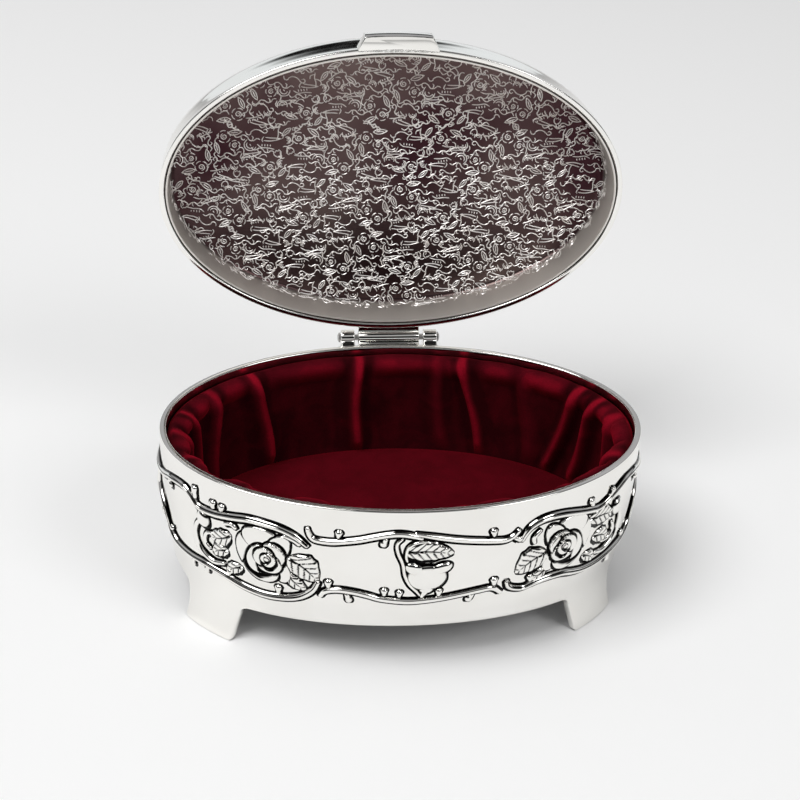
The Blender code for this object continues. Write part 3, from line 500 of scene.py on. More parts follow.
def arch_run(foot_half, top_half):
    """Half of one opening between two feet, across and up, from its middle to the foot's corner."""
    inner = top_half - ARCH_CORNER
    top = EDGE_HEIGHT - EDGE_FALL
    run = []
    steps = max(6, round(inner / 0.9))
    for step in range(steps):
        share = step / steps
        run.append((inner * share, EDGE_HEIGHT - EDGE_FALL * share * share))
    for step in range(7):
        angle = math.pi / 2 * (1 - step / 6)
        run.append((inner + ARCH_CORNER * math.cos(angle),
                    top - ARCH_CORNER + ARCH_CORNER * math.sin(angle)))
    side_top, side_foot = Vector(run[-1]), Vector((foot_half, 0.0))
    direction = (side_foot - side_top).normalized()
    side_end = side_foot - direction * FOOT_CORNER
    for step in range(1, 9):
        point = side_top.lerp(side_end, step / 8)
        run.append((point.x, point.y))
    for step in range(1, 4):
        share = step / 4
        point = side_end.lerp(side_foot, share).lerp(side_foot + Vector((FOOT_CORNER * share, 0.0)), share)
        run.append((point.x, point.y))
    run.append((foot_half + FOOT_CORNER, 0.0))
    return run


def foot_edge():
    """The skirt's lower edge all round the oval, as turns and heights, from the right end's middle."""
    end_run = []
    for across, up in arch_run(*SIDE_ARCH):
        end_run.append((math.asin(across / (HALF_WIDTH - wall_inset(up))), up))
    front_run = []
    for across, up in arch_run(*FRONT_ARCH):
        front_run.append((math.acos(across / (HALF_LENGTH - wall_inset(up))), up))
    first, last = end_run[-1][0], front_run[-1][0]
    steps = 18
    tips = [(first + (last - first) * step / steps, 0.0) for step in range(1, steps)]
    quarter = end_run + tips + front_run[::-1]
    half = quarter + [(math.pi - turn, up) for turn, up in quarter[-2::-1]]
    return half + [(turn + math.pi, up) for turn, up in half[1:-1]]


def body_shape():
    """The cast cup with its rounded rim, its cove and the skirt that is cut into four feet."""
    edge = foot_edge()
    columns = len(edge)
    even = [math.tau * column / columns for column in range(columns)]
    upper = [even[column] * 0.6 + edge[column][0] * 0.4 for column in range(columns)]
    eased = []
    for column, (turn, up) in enumerate(edge):
        before, after = edge[column - 1], edge[(column + 1) % columns]
        reach = (oval_point(0.0, turn + 0.01, 0.0) - oval_point(0.0, turn, 0.0)).length / 0.01
        wrap = (after[0] - before[0]) % math.tau
        tangent = Vector((wrap * reach, after[1] - before[1])).normalized()
        eased.append((turn - tangent.y * EDGE_ROUND / reach, up + tangent.x * EDGE_ROUND))

    rings = [(BODY_WALL + FLOOR_FILLET * across, FLOOR_TOP + FLOOR_FILLET * up, "plain", 0.0)
             for up, across in quarter(4)]
    for step in range(1, 14):
        height = FLOOR_TOP + FLOOR_FILLET + (RIM_HEIGHT - RIM_ROUND - FLOOR_TOP - FLOOR_FILLET) * step / 13
        rings.append((BODY_WALL, height, "plain", 0.0))
    rings += [(BODY_WALL - RIM_ROUND * across, RIM_HEIGHT - RIM_ROUND * down, "plain", 0.0)
              for across, down in quarter(4, first=1)]
    rings += [(RIM_ROUND * across, RIM_HEIGHT - RIM_ROUND * down, "plain", 0.0)
              for across, down in quarter(4, back=True)]
    for step in range(1, 29):
        height = RIM_HEIGHT - RIM_ROUND - (RIM_HEIGHT - RIM_ROUND - SKIRT_TOP) * step / 28
        rings.append((0.0, height, "plain", 0.0))
    for step in range(1, 11):
        rings.append((0.0, SKIRT_TOP, "skirt", step / 10))
    rings.append((EDGE_ROUND * 0.3, SKIRT_TOP, "edge", 0.3))
    rings.append((EDGE_ROUND, SKIRT_TOP, "edge", 0.0))
    rings.append((BODY_WALL - EDGE_ROUND, SKIRT_TOP, "edge", 0.0))
    rings.append((BODY_WALL - EDGE_ROUND * 0.3, SKIRT_TOP, "edge", 0.3))
    for step in range(6):
        rings.append((BODY_WALL, FLOOR_UNDERSIDE, "skirt", 1.0 - step / 6))
    rings.append((BODY_WALL, FLOOR_UNDERSIDE, "plain", 0.0))

    def place(ring, column):
        depth, height, kind, share = rings[ring]
        turn = upper[column]
        if kind == "skirt":
            turn += (eased[column][0] - turn) * share
            height += (eased[column][1] - height) * share
        elif kind == "edge":
            turn = edge[column][0] + (eased[column][0] - edge[column][0]) * share
            height = edge[column][1] + (eased[column][1] - edge[column][1]) * share
        return oval_point(wall_inset(height) + depth, turn, height)
    return spun(len(rings), columns, place)


def knuckle_shapes():
    """The two outer knuckles cast on the body, each with a bracket that runs down onto the wall."""
    root = HALF_WIDTH * math.sqrt(1 - (KNUCKLE_SPAN[1] / HALF_LENGTH) ** 2) - BODY_WALL / 2
    outline = [Vector((0.0, root, RIM_HEIGHT - KNUCKLE_DROP)), Vector((0.0, root, RIM_HEIGHT - 0.5)),
               Vector((0.0, HINGE_Y - KNUCKLE_RADIUS, RIM_HEIGHT - 0.2))]
    for step in range(25):
        angle = math.pi * (1 - step / 24)
        outline.append(Vector((0.0, HINGE_Y + KNUCKLE_RADIUS * math.cos(angle),
                               HINGE_Z + KNUCKLE_RADIUS * math.sin(angle))))
    outline.append(Vector((0.0, HINGE_Y + KNUCKLE_RADIUS * 0.95, HINGE_Z - KNUCKLE_RADIUS * 0.6)))
    outline.append(Vector((0.0, HINGE_Y - KNUCKLE_RADIUS * 0.2, RIM_HEIGHT - KNUCKLE_DROP * 0.62)))
    shapes = []
    for side in (-1, 1):
        shapes.append(prism(outline, Vector((side * KNUCKLE_SPAN[0], 0.0, 0.0)),
                            Vector((side * KNUCKLE_SPAN[1], 0.0, 0.0)), KNUCKLE_BEVEL))
    return shapes


def spaced_route(points, spacing):
    """Evenly spaced points on a smooth curve through a few chosen ones, with any third value eased too."""
    ends = [2 * points[0] - points[1]] + list(points) + [2 * points[-1] - points[-2]]
    fine = []
    for before, here, there, after in zip(ends, ends[1:], ends[2:], ends[3:]):
        for step in range(16):
            share = step / 16
            square, cube = share * share, share * share * share
            fine.append(0.5 * (2 * here + (there - before) * share
                               + (2 * before - 5 * here + 4 * there - after) * square
                               + (3 * here - before - 3 * there + after) * cube))
    fine.append(points[-1])
    travelled = [0.0]
    for here, there in zip(fine, fine[1:]):
        travelled.append(travelled[-1] + math.hypot(there[0] - here[0], there[1] - here[1]))
    count = max(3, round(travelled[-1] / spacing))
    route, index = [], 0
    for step in range(count + 1):
        wanted = travelled[-1] * step / count
        while index < len(fine) - 2 and travelled[index + 1] < wanted:
            index += 1
        span = travelled[index + 1] - travelled[index] or 1.0
        route.append(fine[index].lerp(fine[index + 1], (wanted - travelled[index]) / span))
    return route


class Strands:
    """Round strands on one curve, each with its own thickness along it."""

    def __init__(self, name, sides=1):
        self.curve = bpy.data.curves.new(name, "CURVE")
        self.curve.dimensions = "3D"
        self.curve.bevel_depth = 1.0
        self.curve.bevel_resolution = sides
        self.curve.use_fill_caps = True

    def add(self, places, radii):
        spline = self.curve.splines.new("POLY")
        spline.points.add(len(places) - 1)
        for knot, place, radius in zip(spline.points, places, radii):
            knot.co = (*place, 1.0)
            knot.radius = radius

    def shape(self):
        holder = bpy.data.objects.new(self.curve.name, self.curve)
        mesh = bpy.data.meshes.new_from_object(holder)
        shape = bmesh.new()
        shape.from_mesh(mesh)
        bmesh.ops.remove_doubles(shape, verts=shape.verts, dist=0.0001)
        bpy.data.objects.remove(holder)
        bpy.data.curves.remove(self.curve)
        bpy.data.meshes.remove(mesh)
        return shape


# Relief on the front half of the wall: arc, height and half width of places along each stem.
# The back half is the same, turned by half a round.
END_ARC = ROUND / 4
HALF_ROUND = ROUND / 2
STEM_RISE = 0.95
TUBE_SHARE = 0.74
# How wide the painted dark foot round each form is, in mm, and how much wider it is on the lower side:
# painted shade and dark reflection.
DARK_EDGE = 0.36
SHADE_BELOW = 1.3
FLANGE = 0.04
ROOT = -0.45
UPPER_STEMS = (
    ((-25.6, 42.0, 0.7), (-25.2, 40.0, 0.9), (-23.8, 38.4, 1.05), (-20, 38.2, 1.1), (-16.5, 38.8, 1.1),
     (-13.3, 39.5, 1.1), (-9.9, 40.5, 1.1), (-6.5, 41.3, 1.1), (-3.5, 41.5, 1.1), (-0.5, 40.9, 1.0),
     (2.0, 39.9, 0.6)),
    ((-1.0, 41.7, 0.6), (3.6, 40.7, 1.0), (8.8, 39.5, 1.1), (14.1, 38.5, 1.1), (18.3, 37.8, 1.1),
     (21.3, 37.5, 1.1), (23.4, 38.2, 0.95), (25.2, 40.2, 0.8)),
)
LOWER_STEMS = (
    ((-22.8, 20.4, 0.8), (-21.4, 23.0, 1.05), (-18.4, 24.0, 1.1), (-14.6, 23.8, 1.1), (-11.1, 23.0, 1.1),
     (-8.0, 22.0, 1.1), (-3.2, 21.3, 1.15), (0.5, 21.2, 1.15), (6.4, 21.8, 1.1), (11.7, 22.6, 1.1),
     (16.1, 23.2, 1.1), (19.4, 23.2, 1.05), (22.4, 20.6, 0.8)),
)
# The stems round the ends, from the right of the front to the left of the back.
END_STEMS = (
    ((25.4, 35.2, 0.7), (26.2, 37.6, 1.0), (28.0, 39.9, 1.3), (31.6, 41.2, 1.45), (36.9, 40.9, 1.45),
     (44.6, 39.0, 1.4), (48.4, 38.4, 1.35), (53.1, 39.8, 1.3), (58.8, 41.6, 1.2), (64, 41.2, 1.15),
     (70, 39.4, 1.1), (74, 38.6, 1.1), (78.3, 38.6, 1.1), (82.6, 38.4, 1.1), (86.9, 39.2, 1.15),
     (91.6, 40.8, 1.2), (96.6, 41.5, 1.3), (99.6, 40.2, 1.35), (102.1, 38.2, 1.45), (106.6, 38.2, 1.45),
     (111.9, 39.2, 1.45), (117.3, 40.2, 1.45), (124.0, 39.8, 1.4), (128.4, 38.2, 1.2), (131.9, 35.4, 0.7)),
    ((22.7, 25.2, 0.9), (23.8, 22.6, 1.1), (27.3, 21.3, 1.25), (30.2, 21.9, 1.35), (33.8, 22.4, 1.4),
     (38.5, 22.2, 1.4), (42, 21.2, 1.4), (45.5, 20.4, 1.35), (50.5, 20.1, 1.3), (55.8, 20.6, 1.2),
     (62, 21.4, 1.15), (66.5, 23.2, 1.05), (69.4, 27.0, 1.0), (71.5, 29.6, 0.95), (75, 31.6, 0.9),
     (78.3, 32.2, 0.9), (81.6, 31.6, 0.9), (85.1, 29.6, 0.95), (87.2, 27.0, 1.0), (89.3, 23.8, 1.05),
     (92.2, 21.9, 1.15), (97.9, 21.3, 1.2), (103.1, 21.4, 1.3), (107.6, 20.8, 1.4), (110.8, 20.0, 1.45),
     (114.6, 18.9, 1.5), (119.9, 18.2, 1.5), (125.2, 18.8, 1.45), (129.3, 20.3, 1.35), (132.4, 23.0, 1.15),
     (134.0, 26.4, 0.9)),
)
# A stem's small knobs: arc and height of the root, lean along the wall, rise, radius of the ball.
KNOBS = (
    (-49.6, 38.8, -0.5, 3.1, 1.0), (-47.6, 38.9, 0.4, 2.9, 0.95), (-55.2, 39.2, -0.6, 4.3, 0.9),
    (-18.3, 38.8, 0.3, 2.9, 1.0), (-7.1, 40.8, -0.8, -3.0, 0.9), (18.4, 38.2, -0.2, 3.0, 1.0),
    (45.9, 39.0, -0.8, 3.2, 0.95), (51.6, 39.2, 1.8, 3.0, 0.85), (66.0, 40.6, -0.8, -2.8, 0.85),
    (-66.0, 40.6, 0.8, -2.8, 0.85), (-57.9, 21.2, -0.6, -3.1, 0.9), (-52.6, 21.4, -0.9, -2.9, 0.9),
    (-32.8, 18.9, 0.0, 3.6, 1.0), (-46.0, 20.4, 0.2, 2.6, 0.9), (-20.3, 23.6, -0.2, 3.2, 1.05),
    (-16.1, 23.6, 0.8, -3.3, 0.9), (-7.1, 22.2, 0.0, 3.1, 0.95), (-3.6, 21.8, 0.2, 2.9, 0.9),
    (1.6, 21.6, 1.2, 3.3, 0.85), (6.0, 21.8, 0.0, 3.1, 0.95), (14.5, 22.8, -1.2, -2.9, 0.95),
    (19.6, 23.2, 0.0, 3.2, 1.05), (29.4, 22.0, -0.4, 3.0, 0.95), (56.3, 20.6, 0.5, -3.4, 0.9),
    (62.0, 21.4, -0.4, 2.8, 0.85), (-67.2, 23.8, 1.2, 1.6, 0.9), (23.4, 38.0, 2.4, -1.6, 0.9),
)
# Curling tendrils that carry buds and leaves.
TENDRILS = (
    ((-3.0, 40.6, 0.5), (-4.5, 38.6, 0.6), (-4.2, 36.0, 0.65), (-3.0, 32.8, 0.65), (-2.4, 29.4, 0.65),
     (-1.2, 26.6, 0.65), (0.4, 24.6, 0.6), (2.0, 22.4, 0.5)),
    ((-1.6, 32.6, 0.45), (-2.3, 35.0, 0.6), (-1.8, 37.6, 0.65), (0.2, 39.1, 0.65), (3.4, 39.3, 0.5)),
    ((-53.0, 35.4, 0.7), (-55.2, 32.6, 0.95), (-55.8, 28.8, 1.05), (-54.2, 25.4, 1.05), (-50.6, 23.6, 1.0),
     (-46.6, 24.4, 0.7)),
    ((-50.4, 26.8, 0.6), (-52.6, 28.6, 0.8), (-52.0, 31.4, 0.8), (-49.4, 32.6, 0.5)),
    ((-47.2, 36.2, 0.6), (-44.6, 37.2, 0.9), (-42.8, 35.6, 0.7)),
    ((55.6, 35.2, 0.7), (57.6, 32.4, 0.95), (58.0, 28.6, 1.05), (56.0, 25.4, 1.05), (52.0, 23.6, 1.0),
     (48.4, 24.4, 0.7)),
    ((54.2, 31.6, 0.6), (55.2, 28.8, 0.8), (53.4, 26.8, 0.8), (50.4, 26.8, 0.5)),
    ((-26.6, 35.4, 0.6), (-28.6, 37.2, 0.9), (-31.8, 38.2, 0.7)),
    ((31.0, 38.6, 0.6), (29.0, 36.4, 0.85), (29.4, 33.6, 0.7)),
    ((-END_ARC, 38.4, 0.5), (-76.4, 36.2, 0.7), (-76.0, 33.4, 0.75), (-77.2, 29.0, 0.75),
     (-END_ARC, 24.0, 0.6)),
)
# Leaves: arc and height of the stalk end and of the tip, width, how far the spine bows, and how far
# the leaf stands out.
LEAVES = (
    (-30.2, 31.6, -22.8, 25.8, 7.6, 0.9, 0.95), (-45.0, 33.6, -51.6, 31.2, 4.8, 0.8, 0.8),
    (-46.0, 28.6, -50.6, 26.0, 4.0, -0.5, 0.7), (-42.2, 25.0, -46.8, 21.8, 3.6, -0.4, 0.7),
    (-30.2, 26.6, -25.6, 22.6, 3.6, -0.6, 0.7),
    (33.2, 30.8, 25.0, 26.4, 7.6, -0.9, 0.95), (45.6, 35.6, 54.6, 34.0, 5.6, 0.6, 0.85),
    (47.6, 29.6, 53.6, 27.0, 4.6, 0.6, 0.75), (45.0, 25.0, 49.2, 22.0, 3.6, 0.4, 0.7),
    (33.4, 25.8, 29.0, 23.4, 3.4, 0.6, 0.7), (-2.6, 36.2, 9.0, 35.4, 6.0, 0.7, 1.0),
    (-END_ARC - 0.4, 27.6, -END_ARC + 6.0, 24.4, 4.2, 0.4, 0.8),
    (-END_ARC + 0.4, 27.6, -END_ARC - 6.0, 24.4, 4.2, -0.4, 0.8),
)
# Smooth round lobes of buds: arc, height, half length along the wall, half height, turn, and how far
# the lobe stands out.
LOBES = (
    (2.9, 28.4, 4.9, 4.0, 0.0, 1.25), (-0.2, 31.2, 2.6, 1.7, -0.5, 1.15), (6.2, 31.2, 2.8, 1.6, 0.35, 1.15),
    (-53.0, 35.2, 1.9, 2.4, 0.4, 1.3), (55.7, 35.0, 1.8, 2.4, -0.4, 1.3),
    (-END_ARC, 30.8, 2.6, 3.2, 0.0, 1.2), (2.9, 24.9, 1.8, 1.3, 0.0, 0.9),
)
# Roses: arc and height of the heart, size, and 1 or -1 for the way round.
ROSES = ((-35.4, 30.2, 0.94, 1), (38.0, 31.2, 0.94, -1))
STEM_STEP = 0.30
KNOB_STEP = 0.18
# Grids that are laid on the wall: columns and rows, and the rows where a form's edge and its painted dark
# foot end.
STEM_ROWS = 22
LEAF_GRID = (44, 22)
LOBE_GRID = (48, 14)
ROSE_GRID = (116, 132)
EDGE_ROW = 7 / 11
FLANGE_ROW = 10 / 11
LEAF_EDGE_ROW = 9 / 11
LOBE_EDGE_ROW = 11 / 14
LOBE_FLANGE_ROW = 13 / 14
ROW_SLACK = 0.01
LAST_ROW = 0.99
# Painted shade in creases: how many rounds of averaging, and how strongly a dip is darkened.
CREASE_ROUNDS = 2
CREASE_SHADE_GAIN = 22.0


def stem_profile(share, width, side, down, groove):
    """Out of the wall and painted shade across a stem's tube, darker at its edges and more so on its lower
    side, with a painted dark groove along the wide ones.
    """
    lift = STEM_RISE * min(1.0, 0.42 + 0.55 * width) * (1 - share ** 2.4) ** 0.6 + FLANGE
    dark = max(0.0, share - 0.82 + 0.18 * down) * 5.5
    if groove:
        dip = math.exp(-((side * share - 0.34) / 0.13) ** 2)
        lift -= 0.45 * dip
        dark = max(dark, dip)
    return lift, min(1.0, dark)


def rounded(away, radius):
    """Half the width of a round end at a distance from its tip."""
    if away <= 0.0:
        return 0.0
    if away >= radius:
        return radius
    return math.sqrt(radius * radius - (radius - away) ** 2)


def wall_grid(shape, columns, rows, place, darkness, lifts):
    """A grid whose points, from -1 to 1 both ways, get their places on the wall and their darkness."""
    made = bmesh.ops.create_grid(shape, x_segments=columns, y_segments=rows, size=1.0)
    for vert in made["verts"]:
        arc, height, out, dark = place(vert.co.x, vert.co.y)
        vert.co = on_wall(arc, height, out)
        vert[darkness] = dark
        lifts[vert] = out


def paint_crease_shade(darkness, lifts):
    """Painted shade in the creases: darker where a point lies lower than the points round it."""
    level = dict(lifts)
    for _ in range(CREASE_ROUNDS):
        level = {vert: (value + sum(level[edge.other_vert(vert)] for edge in vert.link_edges))
                 / (1 + len(vert.link_edges)) for vert, value in level.items()}
    for vert, value in level.items():
        crease = (value - lifts[vert]) * CREASE_SHADE_GAIN - 0.25
        vert[darkness] = min(1.0, max(vert[darkness], crease))


def add_stem(shape, stem, shift, darkness, lifts, groove=False, spacing=STEM_STEP):
    """One stem as a strip of grid along its route, with rounded ends and a painted dark foot on both sides,
    painted shade and dark reflection, wider on the lower side.
    """
    route = spaced_route([Vector(point) for point in stem], spacing)
    travelled = [0.0]
    for here, there in zip(route, route[1:]):
        travelled.append(travelled[-1] + (there.xy - here.xy).length)
    last = len(route) - 1
    tips = [DARK_EDGE * (0.8 + SHADE_BELOW * max(0.0, -(tip.y - near.y) / (tip.xy - near.xy).length))
            for tip, near in ((route[0], route[1]), (route[-1], route[-2]))]

    def place(u, v):
        index = min(last, max(0, round((u + 1) / 2 * last)))
        knot = route[index]
        run = (route[min(index + 1, last)].xy - route[max(index - 1, 0)].xy).normalized()
        side, reach = math.copysign(1.0, v), abs(v)
        away = min(travelled[index], travelled[last] - travelled[index])
        full = knot.z * TUBE_SHARE
        half = rounded(away - tips[0 if index * 2 < last else 1], full)
        foot = rounded(away, full + DARK_EDGE) - full
        down = max(0.0, -run.x * side)
        foot = max(foot + full, 0.02) + DARK_EDGE * SHADE_BELOW * down * min(1.0, half / full + 0.2)
        if reach < EDGE_ROW + ROW_SLACK:
            share = reach / EDGE_ROW
            across = half * share
            lift, dark = stem_profile(min(1.0, share), knot.z, side, down, groove)
            lift = FLANGE + (lift - FLANGE) * half / full
            dark = max(dark, 1.0 - 2.0 * half / full)
        else:
            across = half + (foot - half) * min(1.0, (reach - EDGE_ROW) / (FLANGE_ROW - EDGE_ROW))
            lift, dark = (FLANGE, 1.0) if reach < LAST_ROW else (ROOT, 1.0)
        if index in (0, last):
            lift = ROOT
        across *= side
        return knot.x + shift - run.y * across, knot.y + run.x * across, lift, dark
    wall_grid(shape, last, STEM_ROWS, place, darkness, lifts)


def add_leaf(shape, leaf, shift, darkness, lifts):
    """A pointed leaf with a sunk midrib and side veins, both painted dark as shade, its edge painted darker
    on the lower side, and a painted dark foot all round.
    """
    base_arc, base_height, tip_arc, tip_height, width, bow, rise = leaf
    spine = Vector((tip_arc - base_arc, tip_height - base_height))
    length = spine.length
    along, side = spine / length, Vector((-spine.y, spine.x)) / length
    start = -DARK_EDGE / length

    def place(u, v):
        share = start + (1 - 2 * start) * (u + 1) / 2
        held = min(1.0, max(0.0, share))
        half = width / 2 * math.sin(math.pi * min(0.995, 0.04 + 0.955 * held ** 0.85)) ** 0.8
        half *= 1.0 + 0.05 * math.sin(held * 23.0)
        past = abs(share - held) * length
        if past > 0.0:
            half = 0.0
        down = max(0.0, -side.y * math.copysign(1.0, v))
        foot = half + math.sqrt(max(0.0, DARK_EDGE ** 2 - past ** 2)) * (1 + SHADE_BELOW * down)
        reach = abs(v)
        bend = bow * 4 * held * (1 - held)
        if reach < LEAF_EDGE_ROW + ROW_SLACK:
            across = half * min(1.0, reach / LEAF_EDGE_ROW)
        else:
            across = half + (foot - half) * min(1.0, (reach - LEAF_EDGE_ROW) / (FLANGE_ROW - LEAF_EDGE_ROW))
        spot = Vector((base_arc, base_height)) + along * (length * share)
        spot += side * (bend + math.copysign(across, v))
        if reach > LAST_ROW or u in (-1.0, 1.0):
            return spot.x + shift, spot.y, ROOT, 1.0
        if reach > LEAF_EDGE_ROW + ROW_SLACK or past > 0.0:
            return spot.x + shift, spot.y, FLANGE, 1.0
        share_out = across / max(half, 0.01)
        swell = (1 - share_out ** 5) * (0.7 + 0.4 * share_out) * min(1.0, 6 * held * (1 - held) + 0.1)
        midrib = math.exp(-(across / 0.26) ** 2) * (1 - held)
        gap = (held * length - across * 0.8) % 1.8 - 0.9
        vein = math.exp(-(gap / 0.22) ** 2) * min(1.0, across / 0.6) * (1 - share_out ** 4)
        dark = midrib + vein + max(0.0, share_out - 0.90 + 0.12 * down) * 8
        return spot.x + shift, spot.y, FLANGE + rise * swell - 0.42 * midrib - 0.32 * vein, min(1.0, dark)
    wall_grid(shape, *LEAF_GRID, place, darkness, lifts)


def add_lobe(shape, lobe, shift, darkness, lifts):
    """A smooth round lobe such as a bud's, its edge painted darker on the lower side, with a painted dark
    foot.
    """
    arc, height, half_along, half_up, turn, rise = lobe

    def place(u, v):
        row, way = (v + 1) / 2, math.pi * u
        reach = min(1.0, row / LOBE_EDGE_ROW)
        down = max(0.0, -math.sin(way + turn))
        foot = min(1.0, max(0.0, (row - LOBE_EDGE_ROW) / (LOBE_FLANGE_ROW - LOBE_EDGE_ROW)))
        past = DARK_EDGE * foot * (1 + SHADE_BELOW * down)
        x, y = (half_along * reach + past) * math.cos(way), (half_up * reach + past) * math.sin(way)
        spot = (arc + x * math.cos(turn) - y * math.sin(turn) + shift,
                height + x * math.sin(turn) + y * math.cos(turn))
        if row > LAST_ROW:
            return *spot, ROOT, 1.0
        if past > 0.0:
            return *spot, FLANGE, 1.0
        return *spot, FLANGE + rise * (1 - reach ** 2.4) ** 0.6, max(0.0, reach - 0.88 + 0.10 * down) * 8
    wall_grid(shape, *LOBE_GRID, place, darkness, lifts)


# Rose petals, the heart's last and uppermost: centre along and up from the heart, half width, half height,
# turn in degrees, height of the hollow, how much the rim curls up, width of the painted shadow gap outside
# it, and the way in degrees in which that gap is widest.
ROSE_PETALS = (
    (-4.3, 0.8, 4.3, 6.2, 10, 0.18, 0.62, 0.34, 180), (-1.6, 5.3, 5.3, 3.9, -10, 0.30, 0.55, 0.34, 60),
    (3.0, 4.0, 3.0, 4.4, -32, 0.34, 0.60, 0.40, 0), (3.0, -2.7, 3.1, 4.4, 28, 0.26, 0.62, 0.34, -60),
    (-1.8, -4.6, 5.0, 3.1, -16, 0.34, 0.55, 0.34, -90), (-1.3, -0.7, 4.1, 4.5, -14, 0.50, 0.62, 0.62, 215),
    (1.7, 1.5, 3.1, 3.6, 18, 0.62, 0.58, 0.44, 20), (0.8, -1.4, 3.2, 2.9, 0, 0.72, 0.52, 0.42, 240),
    (-0.6, 0.5, 2.7, 2.9, -20, 0.84, 0.50, 0.38, 120), (0.5, -0.1, 2.0, 2.2, 30, 0.95, 0.45, 0.34, 300),
    (-0.1, 0.2, 1.3, 1.35, 0, 1.08, 0.38, 0.28, 160), (0.15, 0.1, 0.62, 0.70, 20, 1.20, 0.25, 0.20, 0),
)
OUTER_PETALS = 5
ROSE_GAPS = 1.35
ROSE_REACH = (8.2, 9.4)
ROSE_MIDDLE = (-1.4, 0.9)
PETAL_EDGE = 0.30


def rose_at(x, y):
    """Height and painted shade of a rose at a place from its heart, by its uppermost petal and the painted
    shadow gaps there, with the petals' lower edges painted darker.
    """
    dark, nearest, foot = 0.0, math.inf, DARK_EDGE
    for index in range(len(ROSE_PETALS) - 1, -1, -1):
        petal_x, petal_y, half_along, half_up, turn_deg, hollow, curl, gap, gap_deg = ROSE_PETALS[index]
        turn = math.radians(turn_deg)
        from_x, from_y = x - petal_x, y - petal_y
        distance = math.hypot(from_x, from_y)
        along = (from_x * math.cos(turn) + from_y * math.sin(turn)) / half_along
        up = (from_y * math.cos(turn) - from_x * math.sin(turn)) / half_up
        uneven = 1 + 0.035 * math.sin(3 * math.atan2(up, along) + turn_deg)
        reach = math.sqrt(along * along + up * up) * uneven
        away = distance * (1 - 1 / reach) if reach > 1e-6 else -half_along
        down = max(0.0, -from_y / max(0.1, distance))
        if away <= 0.0:
            lift = hollow + curl * reach ** 3
            fall, width = (0.9 * lift, 0.62) if index < OUTER_PETALS else (0.22, 0.24)
            lift -= fall * (1 - min(1.0, -away / width)) ** 2
            down = max(down, 0.7) if index < OUTER_PETALS else down
            dark = max(dark, 1.6 * down * (1 + away / PETAL_EDGE) if away > -PETAL_EDGE else 0.0)
            return max(FLANGE, lift - 0.28 * dark), min(1.0, dark)
        if away < nearest:
            nearest, foot = away, DARK_EDGE * (1 + SHADE_BELOW * down)
        towards = math.cos(math.atan2(from_y, from_x) - math.radians(gap_deg))
        wide = ROSE_GAPS * gap * (1 + 0.6 * towards) * (1 + 0.8 * down)
        dark = max(dark, min(1.0, 2.6 * (1 - away / wide))) if away < wide else dark
    if nearest <= foot:
        return FLANGE, 1.0
    return max(ROOT, FLANGE - 1.2 * (nearest - foot)), 1.0


def add_rose(shape, rose, shift, darkness, lifts):
    """One cast rose: petals laid over one another round a tight heart, with painted shadow between them."""
    arc, height, size, hand = rose

    def place(u, v):
        x, y = ROSE_MIDDLE[0] + ROSE_REACH[0] * u, ROSE_MIDDLE[1] + ROSE_REACH[1] * v
        lift, dark = rose_at(x, y)
        return arc + shift + hand * x * size, height + y * size, lift, dark
    wall_grid(shape, *ROSE_GRID, place, darkness, lifts)


def relief_shape(add, forms):
    """One kind of relief on the front and again on the back."""
    shape = bmesh.new()
    # A layer of painted shade and dark reflection: dark feet round the forms, darker lower sides, shadow
    # gaps between petals and shade in creases.
    darkness = shape.verts.layers.float.new("painted_shade")
    lifts = {}
    for shift in (0.0, HALF_ROUND):
        for form in forms:
            add(shape, form, shift, darkness, lifts)
    paint_crease_shade(darkness, lifts)
    bmesh.ops.remove_doubles(shape, verts=shape.verts, dist=0.002)
    return shape


def add_grooved_stem(shape, stem, shift, darkness, lifts):
    """A stem with a groove."""
    add_stem(shape, stem, shift, darkness, lifts, groove=True)


def add_knob(shape, knob, shift, darkness, lifts):
    """A short stalk that ends in a ball."""
    arc, height, lean, rise, ball = knob
    past = DARK_EDGE if rise > 0 else -DARK_EDGE * (1 + SHADE_BELOW)
    points = ((arc, height, ball * 1.05), (arc + lean * 0.35, height + rise * 0.45, ball * 0.95),
              (arc + lean * 0.75, height + rise * 0.75, ball * 1.35),
              (arc + lean, height + rise + past, ball * 1.35))
    add_stem(shape, points, shift, darkness, lifts, spacing=KNOB_STEP)


def make_body(silver):
    """The body casting, its knuckles and its relief."""
    piece("body_shell", body_shape(), silver, "box", 30, ["body_casting"])
    piece("body_knuckles", joined(*knuckle_shapes()), silver, "box", 30, ["body_casting"])
    kinds = (
        ("relief_stems", add_stem, UPPER_STEMS + LOWER_STEMS + TENDRILS),
        ("relief_end_stems", add_grooved_stem, END_STEMS), ("relief_knobs", add_knob, KNOBS),
        ("relief_leaves", add_leaf, LEAVES), ("relief_buds", add_lobe, LOBES),
        ("relief_roses", add_rose, ROSES),
    )
    for name, add, forms in kinds:
        piece(name, relief_shape(add, forms), silver, "box", 70, ["body_casting"])


LID_POINTS = [(inset * LID_SHOULDER_INSET, height * LID_HEIGHT) for inset, height in reversed(LID_SHARES)]
DOME_EASE = 0.35
LID_COLUMNS = 360


